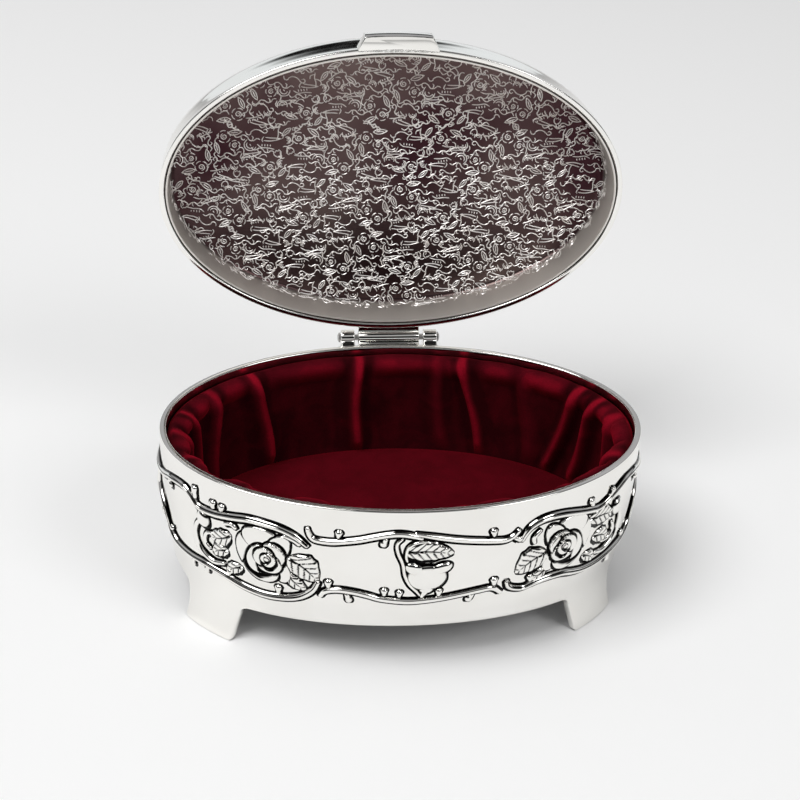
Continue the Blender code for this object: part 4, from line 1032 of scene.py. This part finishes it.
def lid_section():
    """The lid from the middle of its hollow, down inside, round its edge and up to the dome's middle."""
    outside = []
    for step in range(1, 22):
        height = LID_ROUND + (LID_POINTS[0][1] - LID_ROUND) * step / 21
        outside.append((curve_at(LID_POINTS, height), height, 1.0))
    foot = outside[-1][1]
    for step in range(1, 25):
        share = 1 - step / 25
        rise = (LID_HEIGHT - foot) * (1 - share ** 2.2)
        outside.append((LID_SHOULDER_INSET, foot + rise * (1 - DOME_EASE * share * (1 - share)), share))
    inside = [(inset + LID_WALL, height - LID_WALL * inset / LID_SHOULDER_INSET, shrink)
              for inset, height, shrink in outside]
    rim = [(LID_WALL - LID_ROUND * across, LID_ROUND * up, 1.0) for across, up in quarter(4)]
    rim += [(LID_ROUND * across, LID_ROUND * up, 1.0) for across, up in quarter(4, back=True)]
    return inside[::-1] + rim + outside


def tab_shape():
    """The thumb tab: sides drawn in to a tip that follows the oval."""
    outline = []
    steps = 16
    for step in range(steps + 1):
        x = TAB_TIP_HALF * (2 * step / steps - 1)
        y = (HALF_WIDTH + TAB_REACH) * math.sqrt(1 - (x / (HALF_LENGTH + TAB_REACH)) ** 2)
        outline.append(Vector((x, -y, 0.0)))
    root = LID_WALL / 2 - HALF_WIDTH * math.sqrt(1 - (TAB_ROOT_HALF / HALF_LENGTH) ** 2)
    outline.append(Vector((TAB_ROOT_HALF, root, 0.0)))
    outline.append(Vector((-TAB_ROOT_HALF, root, 0.0)))
    return prism(outline, Vector((0.0, 0.0, 0.0)), Vector((0.0, 0.0, TAB_THICKNESS)), TAB_BEVEL)


def lid_hinge_shapes():
    """The lid's leaf, its middle knuckle and the heel that stops it, drawn shut about the hinge."""
    centre = Vector((0.0, HINGE_Y, HINGE_Z - RIM_HEIGHT - LID_GAP))
    half = Vector((LID_KNUCKLE_HALF, 0.0, 0.0))
    front = HALF_WIDTH - LEAF_BED - HINGE_Y
    leaf = [Vector((0.0, y, z)) + centre for y, z in
            ((front, 0.0), (0.0, 0.0), (0.0, LID_KNUCKLE_RADIUS), (front, LID_KNUCKLE_RADIUS))]

    def shut(y, z):
        return centre + Matrix.Rotation(OPEN_ANGLE, 3, "X") @ Vector((0.0, y, z))
    face = HALF_WIDTH + STOP_GAP - HINGE_Y
    heel = [shut(face, RIM_HEIGHT - HINGE_Z), shut(0.0, LID_KNUCKLE_RADIUS / 2),
            shut(LID_KNUCKLE_RADIUS / 2, -LID_KNUCKLE_RADIUS / 2), shut(0.0, -HEEL_DROP),
            shut(face, -HEEL_DROP)]
    return [prism(leaf, -half, half, LEAF_BEVEL), prism(heel, -half, half, HEEL_BEVEL),
            bar(LID_KNUCKLE_RADIUS, LID_KNUCKLE_HALF, centre)]


def make_lid(silver):
    """The lid casting with its tab and its part of the hinge."""
    shell = spun_section(lid_section(), LID_COLUMNS)
    piece("lid_shell", shell, silver, "lid", 30, ["lid_casting"])
    piece("lid_thumb_tab", tab_shape(), silver, "lid", 30, ["lid_casting"])
    piece("lid_hinge_leaf", joined(*lid_hinge_shapes()), silver, "lid", 30, ["lid_casting"])


FIELD_INSET = PLATE_MOUTH + PLATE_LEAN + PLATE_THICKNESS
PLATE_COLUMNS = 288
# How far the embossed lines run down the dish's wall, and where the wall turns plain
EMBOSS_DROP = 2.6
PLAIN_START = 0.5
PLAIN_SPAN = 1.2


def plate_section():
    """The liner sheet's dish: back from its middle to the mouth, then the face back to the middle."""
    field = PLATE_DEPTH + PLATE_THICKNESS
    wall = PLATE_MOUTH + PLATE_LEAN
    section = [(wall + PLATE_CORNER, field, 0.3), (wall + PLATE_CORNER, field, 0.65)]
    section += [(wall + PLATE_CORNER * across, field - PLATE_CORNER * down, 1.0)
                for down, across in quarter(6)]
    section.append((PLATE_MOUTH, PLATE_RECESS, 1.0))
    section.append((PLATE_MOUTH + PLATE_THICKNESS / 2, PLATE_RECESS - PLATE_EDGE_RISE, 1.0))
    section.append((PLATE_MOUTH + PLATE_THICKNESS, PLATE_RECESS, 1.0))
    section += [(FIELD_INSET + PLATE_CORNER * across, PLATE_DEPTH - PLATE_CORNER * down, 1.0)
                for down, across in quarter(6, back=True)]
    section += [(FIELD_INSET + PLATE_CORNER, PLATE_DEPTH, share) for share in (0.8, 0.6, 0.4, 0.2)]
    return section


def on_plate(u, v):
    """A place of the flat embossed sheet carried onto the dish, or nothing past its mouth."""
    half_x, half_y = HALF_LENGTH - FIELD_INSET, HALF_WIDTH - FIELD_INSET
    reach = math.hypot(u / half_x, v / half_y)
    if reach <= 1e-6:
        return Vector((u, v, PLATE_DEPTH))
    edge_turn = math.atan2(v / half_y, u / half_x)
    radius = math.hypot(half_x * math.cos(edge_turn), half_y * math.sin(edge_turn))
    inside = (1 - reach) * radius
    if inside >= PLATE_CORNER:
        return Vector((u, v, PLATE_DEPTH))
    along = PLATE_CORNER - inside
    if along < PLATE_CORNER * math.pi / 2:
        angle = along / PLATE_CORNER
        inset = FIELD_INSET + PLATE_CORNER * (1 - math.sin(angle))
        return oval_point(inset, edge_turn, PLATE_DEPTH - PLATE_CORNER * (1 - math.cos(angle)))
    drop = along - PLATE_CORNER * math.pi / 2
    if drop > EMBOSS_DROP:
        return None
    lean = PLATE_LEAN * drop / (PLATE_DEPTH - PLATE_CORNER)
    return oval_point(FIELD_INSET - lean, edge_turn, PLATE_DEPTH - PLATE_CORNER - drop)


def spiral(x, y, start, end, turns, begin):
    """A spiral from one radius to another."""
    steps = max(6, round(abs(turns) * 9))
    points = []
    for step in range(steps + 1):
        share = step / steps
        radius = start + (end - start) * share
        angle = begin + math.tau * turns * share
        points.append((x + radius * math.cos(angle), y + radius * math.sin(angle)))
    return points


def small_rose(size):
    """A rose in a few lines: a tight spiral inside a broken ring of petals."""
    lines = [spiral(0, 0, 0.12 * size, 0.52 * size, 1.6, 0.4)]
    for petal in range(5):
        begin = math.tau * petal / 5
        lines.append(spiral(0.12 * size * math.cos(begin + 0.5), 0.12 * size * math.sin(begin + 0.5),
                            0.80 * size, 0.84 * size, 0.17, begin))
    return lines


def drawn(size, *lines):
    """A motif's lines at a size, from places across and up in a motif of size 1."""
    return [[(across * size, up * size) for across, up in line] for line in lines]


def leaf_lines(size):
    """A pointed leaf's outline with an open midrib."""
    return drawn(size, ((-1.2, 0), (-0.5, 0.42), (0.4, 0.40), (1.3, 0)),
                 ((-1.2, 0), (-0.4, -0.36), (0.5, -0.30), (1.3, 0)), ((-0.7, 0.02), (0.6, 0.05)))


def hooked_scroll(size):
    """An S-shaped scroll that ends in two hooks."""
    return drawn(size, ((-1.9, 0.1), (-1.6, 0.65), (-1.0, 0.62), (-0.9, 0.15), (-0.2, -0.30), (0.7, -0.15),
                        (1.5, 0.35), (2.0, 0.0), (1.7, -0.45), (1.3, -0.2)))


def crescents(size):
    """Two nested crescents round a dash."""
    return [spiral(0, 0, 1.0 * size, 1.05 * size, 0.62, -0.4),
            spiral(0, 0, 0.62 * size, 0.66 * size, 0.5, -0.1),
            *drawn(size, ((-0.18, -0.05), (0.18, 0.08)))]


def comb(size):
    """A bent line with a row of short ticks."""
    ticks = [((-0.75 + 0.45 * tick, 0.05 + 0.08 * tick), (-0.70 + 0.45 * tick, -0.35 + 0.10 * tick))
             for tick in range(4)]
    return drawn(size, ((-1.5, -0.4), (-0.9, 0.25), (0.2, 0.5), (1.2, 0.9)), *ticks)


def fork(size):
    """A branching tendril."""
    return drawn(size, ((-1.2, -0.9), (-0.5, -0.1), (0.4, 0.3), (1.1, 1.0)),
                 ((-0.3, 0.0), (0.5, -0.5), (1.2, -0.4), (1.35, 0.1)),
                 ((-1.0, -0.6), (-1.3, 0.2), (-0.9, 0.7)))


def bell(size):
    """A small bellflower with a curled stalk."""
    return drawn(size, ((-0.6, -0.7), (-0.75, 0.0), (-0.3, 0.7), (0.3, 0.7), (0.75, 0.0), (0.6, -0.7)),
                 ((-0.6, -0.7), (-0.25, -0.4), (0.0, -0.8), (0.25, -0.4), (0.6, -0.7)),
                 ((0.0, 0.75), (0.3, 1.3), (0.9, 1.4)))


def vine(size):
    """A long wandering line with two short hooks."""
    return drawn(size, ((-3.2, -0.3), (-2.5, 0.45), (-1.6, 0.1), (-0.9, -0.5), (0.1, -0.2), (0.8, 0.5),
                        (1.7, 0.4), (2.4, -0.3), (3.2, -0.1)),
                 ((-1.3, -0.15), (-1.2, 0.55), (-0.6, 0.75), (-0.3, 0.35)),
                 ((1.3, 0.5), (1.5, -0.25), (1.1, -0.65)))


def spear(size):
    """A long narrow leaf drawn with two lines that meet at its tip, and a curved stalk."""
    return drawn(size, ((-2.4, 0.45), (-0.8, 0.62), (0.8, 0.45), (2.4, 0.0)),
                 ((-1.9, -0.45), (-0.4, -0.25), (1.0, -0.20), (2.4, 0.0)),
                 ((-2.6, 0.9), (-2.9, 0.2), (-2.3, -0.7)))


# One tile of the brocade: motif, place in the tile, size and turn in degrees. Rows of tiles are set half
# a tile over, and every other tile is turned by half a round.
TILE = (16.0, 12.5)
TILE_SCALE = 1.16
TILE_MOTIFS = (
    (small_rose, 2.4, 2.6, 1.5, 20), (small_rose, 5.0, 4.6, 1.25, 80), (leaf_lines, 1.2, 5.4, 1.2, 70),
    (leaf_lines, 5.2, 1.4, 1.3, -15), (hooked_scroll, 10.0, 1.6, 1.25, 8), (crescents, 8.2, 4.6, 1.35, 35),
    (comb, 12.2, 4.4, 1.35, -12), (fork, 15.0, 2.0, 1.15, 60), (bell, 14.8, 6.4, 1.1, -30),
    (hooked_scroll, 3.4, 8.0, 1.3, 24), (crescents, 7.6, 8.2, 1.1, 170), (fork, 10.6, 7.4, 1.2, -20),
    (small_rose, 12.6, 9.6, 1.45, 130), (leaf_lines, 9.6, 10.6, 1.3, 30), (comb, 1.4, 11.0, 1.2, 150),
    (bell, 5.4, 11.2, 1.0, 15), (leaf_lines, 15.4, 11.2, 1.1, -50), (crescents, 15.6, 8.8, 0.75, 80),
    (fork, 2.6, 9.9, 0.7, 200), (hooked_scroll, 12.6, 12.2, 0.8, -5),
    (vine, 7.4, 3.1, 0.95, 12), (vine, 3.6, 6.7, 0.85, -8), (vine, 11.4, 6.0, 0.80, 10),
    (vine, 14.6, 8.0, 0.7, -70), (vine, 8.2, 9.6, 0.80, 4), (vine, 12.8, 0.2, 0.85, -4),
    (vine, 0.6, 8.8, 0.75, 80), (spear, 8.8, 6.9, 0.9, -6),
    (spear, 2.6, 12.0, 0.85, 10), (spear, 13.6, 3.1, 0.8, 4), (vine, 7.2, 12.1, 0.75, -14),
    (vine, 4.4, 0.2, 0.7, 40), (hooked_scroll, 7.0, 5.6, 0.7, 70), (crescents, 11.0, 8.8, 0.8, -60),
    (fork, 13.2, 11.4, 0.8, 100), (hooked_scroll, 0.6, 3.6, 0.7, -60), (crescents, 4.6, 9.6, 0.8, 10),
)
LINE_RADIUS = 0.145
LINE_END_SHARE = 0.55
LINE_SPACING = 0.50
TURN_PLAY_DEG = 12
PLACE_PLAY = 0.3
FLAT_SLACK = 0.001


def emboss_shapes():
    """The raised lines of the liner sheet, apart for its flat field and its wall."""
    field, wall = Strands("emboss_field", sides=0), Strands("emboss_wall", sides=0)
    reach_x, reach_y = HALF_LENGTH + PLATE_DEPTH, HALF_WIDTH + PLATE_DEPTH
    dice = random.Random(7)
    tile_x, tile_y = TILE[0] * TILE_SCALE, TILE[1] * TILE_SCALE
    rows, columns = math.ceil(reach_y / tile_y), math.ceil(reach_x / tile_x)
    for row in range(-rows, rows):
        for column in range(-columns - 1, columns):
            origin = Vector(((column + 0.5 * (row % 2)) * tile_x, row * tile_y))
            for motif, x, y, size, turn_deg in TILE_MOTIFS:
                if (row + column) % 2:
                    x, y, turn_deg = TILE[0] - x, TILE[1] - y, turn_deg + 180
                turn = math.radians(turn_deg + dice.uniform(-TURN_PLAY_DEG, TURN_PLAY_DEG))
                place = Vector((x + dice.uniform(-PLACE_PLAY, PLACE_PLAY),
                                y + dice.uniform(-PLACE_PLAY, PLACE_PLAY)))
                centre = origin + place * TILE_SCALE
                for line in motif(size * TILE_SCALE):
                    turned = [Vector((centre.x + across * math.cos(turn) - up * math.sin(turn),
                                      centre.y + across * math.sin(turn) + up * math.cos(turn),
                                      LINE_RADIUS)) for across, up in line]
                    route = spaced_route(turned, LINE_SPACING)
                    places = [on_plate(knot.x, knot.y) for knot in route]
                    if any(spot is None for spot in places):
                        continue
                    ends = (0, len(route) - 1)
                    radii = [LINE_RADIUS * (LINE_END_SHARE if index in ends else 1.0)
                             for index in range(len(route))]
                    flat = all(abs(spot.z - PLATE_DEPTH) < FLAT_SLACK for spot in places)
                    (field if flat else wall).add(places, radii)
    return field.shape(), wall.shape()


def make_plate(ground, line):
    """The embossed liner sheet."""
    section = plate_section()

    def plain(ring, _column):
        return min(1.0, max(0.0, (PLATE_DEPTH - PLAIN_START - section[ring][1]) / PLAIN_SPAN))
    sheet = spun_section(section, PLATE_COLUMNS, marks={"plain": plain})
    piece("liner_sheet", sheet, ground, "lid", 40, ["lid_liner_plate"])
    field, wall = emboss_shapes()
    piece("liner_emboss_field", field, line, "lid", 60, ["lid_liner_plate"])
    piece("liner_emboss_wall", wall, line, "lid", 60, ["lid_liner_plate"])


# The deepest tuck, and about how far the velvet's face lies inside the rim's oval, in mm
GATHER_DEPTH = 3.5
LINING_DEPTH = 5
# Tucks of the velvet wall: place round the oval in degrees from +X, lean from floor to rim in degrees,
# half width in mm, depth as a share of the deepest, and which side is the steeper.
GATHERS = (
    (4, 3, 2.4, 0.80, 1), (22, -8, 2.0, 1.00, -1), (33, -9, 2.0, 1.00, -1), (48, 4, 3.2, 0.35, 1),
    (66, 7, 1.5, 0.75, 1), (75, 5, 2.2, 0.30, -1), (99, -1, 2.1, 1.00, -1), (129, 3, 2.0, 1.00, -1),
    (151, -3, 2.2, 0.85, -1), (165, 2, 1.8, 0.95, 1), (181, -2, 2.2, 0.90, -1), (198, 2, 2.2, 0.80, 1),
    (228, -2, 2.4, 0.65, -1), (256, 1, 2.6, 0.55, 1), (283, -2, 2.4, 0.60, -1), (310, 2, 2.2, 0.60, 1),
    (338, -2, 2.4, 0.80, -1),
)
# Lumps of the soft roll under the rim: place and half width in degrees, and how far they stand out in mm.
ROLL_LUMPS = (
    (-4, 7, 1.9), (12, 8, 2.1), (28, 4, 1.7), (42, 8, 1.7), (58, 6, 1.2), (71, 5, 1.3), (86, 10, 1.3),
    (113, 12, 1.2), (140, 8, 1.4), (157, 5, 1.7), (171, 5, 2.0), (187, 6, 1.9), (203, 5, 1.5),
    (222, 4, 1.9), (244, 5, 1.8), (290, 5, 1.2), (322, 7, 1.2), (341, 6, 1.6),
)
LINING_BACK = FIT_GAP + CARD_THICKNESS + FIT_GAP + WADDING_THICKNESS + FIT_GAP
VELVET_COLUMNS = 600
LINING_COLUMNS = 240
WADDING_WOBBLE = 0.04
FLOOR_PAD_ROUND = 0.25
FELT_ROUND = 0.15
# The floor's velvet: how high its middle is crowned, and how deep use has pressed and dented it
FLOOR_CROWN = 0.55
FLOOR_PRESSED = 0.08
FLOOR_DENT = 0.10
# The gathered wall: its small ripples, and how much of the lesser of a tuck and a lump is added to the other
RIPPLE_HEIGHT = 0.10
BLEND_SHARE = 0.35
# The face of the gathered wall: share of the height, inset past the face, share of the tucks' depth, and
# share of the roll's lumps, above the plain part that has full tucks and no roll
PLAIN_SHARE = 0.80
ROLL_ROWS = (
    (0.83, 0.0, 1.0, 0.35), (0.86, 0.0, 0.95, 0.7), (0.89, 0.0, 0.85, 0.95), (0.92, 0.0, 0.7, 1.05),
    (0.95, -0.15, 0.5, 1.0), (0.975, -0.6, 0.35, 0.8), (0.99, -1.2, 0.25, 0.5), (1.0, -2.0, 0.1, 0.15),
)


def cup_inset(height):
    """The inside face of the cast wall."""
    return wall_inset(height) + BODY_WALL


def apart(turn, place_deg):
    """Signed degrees from a place to a turn."""
    return (math.degrees(turn) - place_deg + 180.0) % 360.0 - 180.0


def gather_depth(turn, rise):
    """The share of a full tuck's depth at a turn and a share of the height."""
    along = math.hypot((HALF_LENGTH - LINING_DEPTH) * math.sin(turn),
                       (HALF_WIDTH - LINING_DEPTH) * math.cos(turn))
    depth = 0.0
    for place_deg, lean_deg, half_width, share, steep in GATHERS:
        bent = lean_deg * (rise - 0.5) + 0.8 * math.sin(rise * 5 + place_deg)
        away = math.radians(apart(turn, place_deg + bent)) * along
        width = half_width * (0.62 if away * steep > 0 else 1.45 - 0.35 * rise)
        depth = max(depth, share * math.exp(-abs(away / width) ** 2.6))
    return depth * min(1.0, max(0.0, (rise - 0.01) * 6.0))


def roll_lump(turn):
    """How far the roll under the rim stands out at a turn, pinched between its lumps."""
    return max(size * math.exp(-(apart(turn, place_deg) / half_deg) ** 4)
               for place_deg, half_deg, size in ROLL_LUMPS)


def velvet_wall_shape():
    """The gathered velvet from the floor up to the soft roll under the rim, and its back."""
    dice = random.Random(11)
    ripples = [(waves, dice.uniform(0, math.tau)) for waves in (13, 21, 34, 47)]
    span = LINING_TOP - LINING_FOOT
    face = LINING_BACK + VELVET_THICKNESS
    shoulder = (LINING_SHOULDER - LINING_FOOT) / span
    rows = [(step / 30 * PLAIN_SHARE, face, 1.0, 0.0) for step in range(31)]
    rows += [(rise, face + past, fold, roll) for rise, past, fold, roll in ROLL_ROWS]
    front = len(rows)
    rows += [(0.965, FIT_GAP, 0.0, 0.0), (shoulder, FIT_GAP, 0.0, 0.0)]
    rows += [(shoulder * (1 - step / 8), LINING_BACK, 0.0, 0.0) for step in range(9)]
    turns = [math.tau * column / VELVET_COLUMNS for column in range(VELVET_COLUMNS)]
    lumps = [roll_lump(turn) for turn in turns]
    folds = [[gather_depth(turn, row[0]) if row[2] else 0.0 for turn in turns] for row in rows]

    def place(ring, column):
        rise, inset, fold, roll = rows[ring]
        turn = turns[column]
        height = LINING_FOOT + span * rise
        tuck = fold * GATHER_DEPTH * folds[ring][column] * (0.85 + 0.15 * rise)
        lump = roll * lumps[column]
        push = max(tuck, lump) + BLEND_SHARE * min(tuck, lump)
        if ring < front:
            loose = sum(math.sin(waves * turn + phase + rise * 3.0) for waves, phase in ripples)
            push += RIPPLE_HEIGHT * loose * min(1.0, rise * 4) * fold
            height += 0.28 * (lumps[column] - 1.2) * max(0.0, rise - 0.82) / 0.18
        inset += cup_inset(min(height, LINING_TOP)) + max(0.0, push)
        return oval_point(inset, turn, min(height, LINING_TOP + 0.5))

    # Painted light and shade: lighter on the tucks' crests and the roll's lumps, darker just beside each
    # tuck; the back gets a low value.
    def painted_light_and_shade(ring, column):
        if ring >= front:
            return 0.1
        beside = max(folds[ring][column - 4], folds[ring][(column + 4) % VELVET_COLUMNS])
        crest = folds[ring][column] - 0.55 * beside
        roll = rows[ring][3] * min(1.0, lumps[column] / 1.5)
        return min(1.0, max(0.0, 0.12 + 1.10 * crest + 0.62 * roll))
    return spun(len(rows), VELVET_COLUMNS, place, closed=True, marks={"painted_light_and_shade": painted_light_and_shade})


def strip_shape(near, thickness, top, wobble):
    """A thin strip standing inside the cup's wall."""
    steps = 12
    rows = [(step / steps, near) for step in range(steps + 1)]
    rows += [(1 - step / steps, near + thickness) for step in range(steps + 1)]

    def place(ring, column):
        share, inset = rows[ring]
        turn = math.tau * column / LINING_COLUMNS
        height = LINING_FOOT + (top - LINING_FOOT) * share
        loose = wobble * math.sin(17 * turn + 5 * share) * (1 if ring > steps else 0)
        return oval_point(cup_inset(height) + inset + loose, turn, height)
    return spun(len(rows), LINING_COLUMNS, place, closed=True)


def floor_cover_shape():
    """The floor's velvet, wrapped round its pad, slightly crowned and pressed by use."""
    low, high = (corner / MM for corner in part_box("floor_cover"))
    edge = HALF_LENGTH - high.x
    core = edge + VELVET_THICKNESS
    under, top = FLOOR_COVER_UNDER, FLOOR_COVER_TOP
    rows = [(core, under, 0.3), (core, under, 0.7), (core, under, 1.0), (core, low.z + 0.05, 1.0),
            (core - 0.5, low.z, 1.0), (edge + 0.1, low.z, 1.0), (edge, low.z + 0.3, 1.0),
            (edge, top - 0.7, 1.0), (edge + 0.12, top - 0.25, 1.0), (edge + 0.4, top, 1.0)]
    rim = len(rows)
    rows += [(core, top + FLOOR_CROWN * (1 - share ** 2.4), share) for share in
             (0.97, 0.93, 0.88, 0.82, 0.75, 0.67, 0.58, 0.48, 0.37, 0.26, 0.14, 0.05)]

    def place(ring, column):
        inset, height, shrink = rows[ring]
        turn = math.tau * column / LINING_COLUMNS
        point = oval_point(inset, turn, height)
        if ring >= rim:
            dent = math.sin(3 * turn + 4 * shrink) * math.sin(math.pi * shrink)
            height += FLOOR_DENT * dent - FLOOR_PRESSED
        return Vector((point.x * shrink, point.y * shrink, height))
    # The floor's velvet gets one even value on the colour ramp, with no painted light or shade.
    return spun(len(rows), LINING_COLUMNS, place, marks={"painted_light_and_shade": lambda ring, column: 0.30})


def disc_shape(inset, low, high, round_by):
    """A flat oval disc with eased edges."""
    section = [(inset, low, 0.5), (inset + round_by, low, 1.0), (inset, low + round_by, 1.0),
               (inset, high - round_by, 1.0), (inset + round_by, high, 1.0), (inset, high, 0.5)]
    return spun_section(section, LINING_COLUMNS)


def make_lining(velvet, floor_velvet, card, wadding, felt):
    """The velvet wall and floor, what pads them, and the felt below."""
    wall = piece("velvet_wall", velvet_wall_shape(), velvet, "box", 80, ["lining_wall"])
    floor = piece("velvet_floor", floor_cover_shape(), floor_velvet, "box", 60,
                  ["floor_cover"])
    strip = strip_shape(FIT_GAP + CARD_THICKNESS + FIT_GAP, WADDING_THICKNESS, LINING_SHOULDER - FIT_GAP,
                        WADDING_WOBBLE)
    pad = piece("wall_padding", strip, wadding, "box", 60, ["wall_wadding"])
    low, high = (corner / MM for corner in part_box("floor_wadding"))
    disc = disc_shape(HALF_LENGTH - high.x, low.z, high.z, FLOOR_PAD_ROUND)
    pad = piece("floor_padding", disc, wadding, "box", 60, ["floor_wadding"])
    low, high = FELT_LOW, FELT_HIGH
    disc = disc_shape(HALF_LENGTH - high.x, low.z, high.z, FELT_ROUND)
    sheet = piece("felt_base", disc, felt, "box", 60, ["base_felt"])
    for name in ("wall_card", "floor_card"):
        dress(name, card)


def dress(node, material):
    """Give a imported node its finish."""
    mesh = frame["nodes"][node].data
    mesh.materials.clear()
    mesh.materials.append(material)


# Camera: set where the photograph was taken from, in millimetres about the oval's middle
CAMERA_DISTANCE = 400.0
CAMERA_ELEVATION_DEG = 31.92
CAMERA_YAW_DEG = -6.85
CAMERA_ROLL_DEG = 2.83
CAMERA_TARGET = Vector((-0.95, 0.0, 53.78))
SENSOR_WIDTH = 36.0
FOCAL_PIXELS = 1621.0
PICTURE_PIXELS = 800.0


def make_camera():
    """The camera at the photograph's angle."""
    elevation, yaw = math.radians(CAMERA_ELEVATION_DEG), math.radians(CAMERA_YAW_DEG)
    back = Vector((math.sin(yaw) * math.cos(elevation), -math.cos(yaw) * math.cos(elevation),
                   math.sin(elevation)))
    right = (-back).cross(Vector((0.0, 0.0, 1.0))).normalized()
    up = right.cross(-back)
    roll = Matrix.Rotation(math.radians(CAMERA_ROLL_DEG), 4, "Z")
    turned = Matrix((right, up, back)).transposed().to_4x4() @ roll
    lens = bpy.data.cameras.new("camera")
    lens.sensor_width = SENSOR_WIDTH
    lens.lens = SENSOR_WIDTH * FOCAL_PIXELS / PICTURE_PIXELS
    lens.clip_start, lens.clip_end = 0.01, 20.0
    camera = bpy.data.objects.new("camera", lens)
    place = (CAMERA_TARGET + Vector((0.0, MIDDLE_Y, 0.0)) + back * CAMERA_DISTANCE) * MM
    camera.matrix_world = Matrix.Translation(place) @ turned
    bpy.context.scene.collection.objects.link(camera)
    bpy.context.scene.camera = camera


FLOOR_HALF_SIZE = 4.0


def make_floor():
    """A plain white floor that keeps the box's shadow."""
    material, _, shader = new_material("studio_floor")
    fill_inputs(shader, {"Base Color": linear("#fbfbfb"), "Roughness": 1.0, "Specular IOR Level": 0.0})
    shape = bmesh.new()
    bmesh.ops.create_grid(shape, x_segments=1, y_segments=1, size=FLOOR_HALF_SIZE)
    mesh = bpy.data.meshes.new("floor")
    shape.to_mesh(mesh)
    shape.free()
    mesh.materials.append(material)
    floor = bpy.data.objects.new("floor", mesh)
    bpy.context.scene.collection.objects.link(floor)


def make_world():
    """White to the camera, plain grey to cloth, and to metal a white horizon under dark and pale bands."""
    world = bpy.data.worlds.new("studio")
    bpy.context.scene.world = world
    world.use_nodes = True
    tree = world.node_tree
    tree.nodes.clear()
    sphere = add_node(tree, "ShaderNodeTexCoord")
    way = add_node(tree, "ShaderNodeSeparateXYZ", {0: sphere.outputs["Generated"]})
    height = add_node(tree, "ShaderNodeMapRange", {"Value": way.outputs["Z"], "From Min": -1.0,
                                                   "From Max": 1.0})
    front = add_node(tree, "ShaderNodeValToRGB", {"Fac": height.outputs["Result"]})
    fill_ramp(front, ((0.0, "#f2f2f2"), (0.55, "#f2f2f2"), (0.60, "#101010"), (0.78, "#0c0c0c"),
                      (0.82, "#8c8c8c"), (0.90, "#b8b8b8"), (0.96, "#202020")))
    rear = add_node(tree, "ShaderNodeValToRGB", {"Fac": height.outputs["Result"]})
    fill_ramp(rear, ((0.0, "#f2f2f2"), (0.575, "#e8ecee"), (0.60, "#0e0e0e"), (0.63, "#0e0e0e"),
                     (0.655, "#9b9b9e"), (0.86, "#b4b4b6"), (0.96, "#202020")))
    side = add_node(tree, "ShaderNodeMapRange", {"Value": way.outputs["Y"], "From Min": -0.15,
                                                 "From Max": 0.15})
    room = add_node(tree, "ShaderNodeMix", {0: side.outputs["Result"], 6: front.outputs["Color"],
                                            7: rear.outputs["Color"]}, data_type="RGBA")
    ray = add_node(tree, "ShaderNodeLightPath")
    soft = add_node(tree, "ShaderNodeMix", {0: ray.outputs["Is Diffuse Ray"], 6: room.outputs[2],
                                            7: (0.38, 0.38, 0.38, 1.0)}, data_type="RGBA")
    seen = add_node(tree, "ShaderNodeMix", {0: ray.outputs["Is Camera Ray"], 6: soft.outputs[2],
                                            7: (1.0, 1.0, 1.0, 1.0)}, data_type="RGBA")
    background = add_node(tree, "ShaderNodeBackground", {"Color": seen.outputs[2]})
    add_node(tree, "ShaderNodeOutputWorld", {"Surface": background.outputs["Background"]})


# Soft boxes: place and aim in metres, width, height, power in watts.
SOFT_BOXES = (
    ((-0.72, -0.40, 1.50), (0.0, 0.0, 0.04), 0.88, 0.88, 16.0),
    ((0.96, -0.88, 1.18), (0.0, 0.0, 0.05), 0.64, 0.64, 5.2),
)


def make_lights():
    """Soft boxes above the box."""
    for place, aim, width, height, power in SOFT_BOXES:
        lamp = bpy.data.lights.new("soft_box", "AREA")
        lamp.shape = "RECTANGLE"
        lamp.size, lamp.size_y = width, height
        lamp.energy = power
        holder = bpy.data.objects.new("soft_box", lamp)
        holder.location = place
        holder.rotation_euler = (Vector(aim) - Vector(place)).to_track_quat("-Z", "Y").to_euler()
        bpy.context.scene.collection.objects.link(holder)


def make_scene():
    """Every piece with its finish, then the studio."""
    silver = silver_plate()
    make_camera()
    make_body(silver)
    make_lid(silver)
    make_plate(embossed_ground(), embossed_line())
    make_lining(burgundy_velvet(),
                burgundy_velvet("burgundy_velvet_floor", "#40030a", "#580512", "#680816"),
                fibre_material("grey_card", "#8f877b", "#b3aa9c", 0.6, 0.05),
                fibre_material("white_wadding", "#dedbd2", "#f4f2ec", 0.9, 0.3),
                fibre_material("base_felt", "#141414", "#2b2a2a", 0.5, 0.2))
    dress("hinge_pin", drawn_steel())
    make_floor()
    make_world()
    make_lights()
    bpy.context.scene.view_settings.view_transform = "Standard"


make_scene()
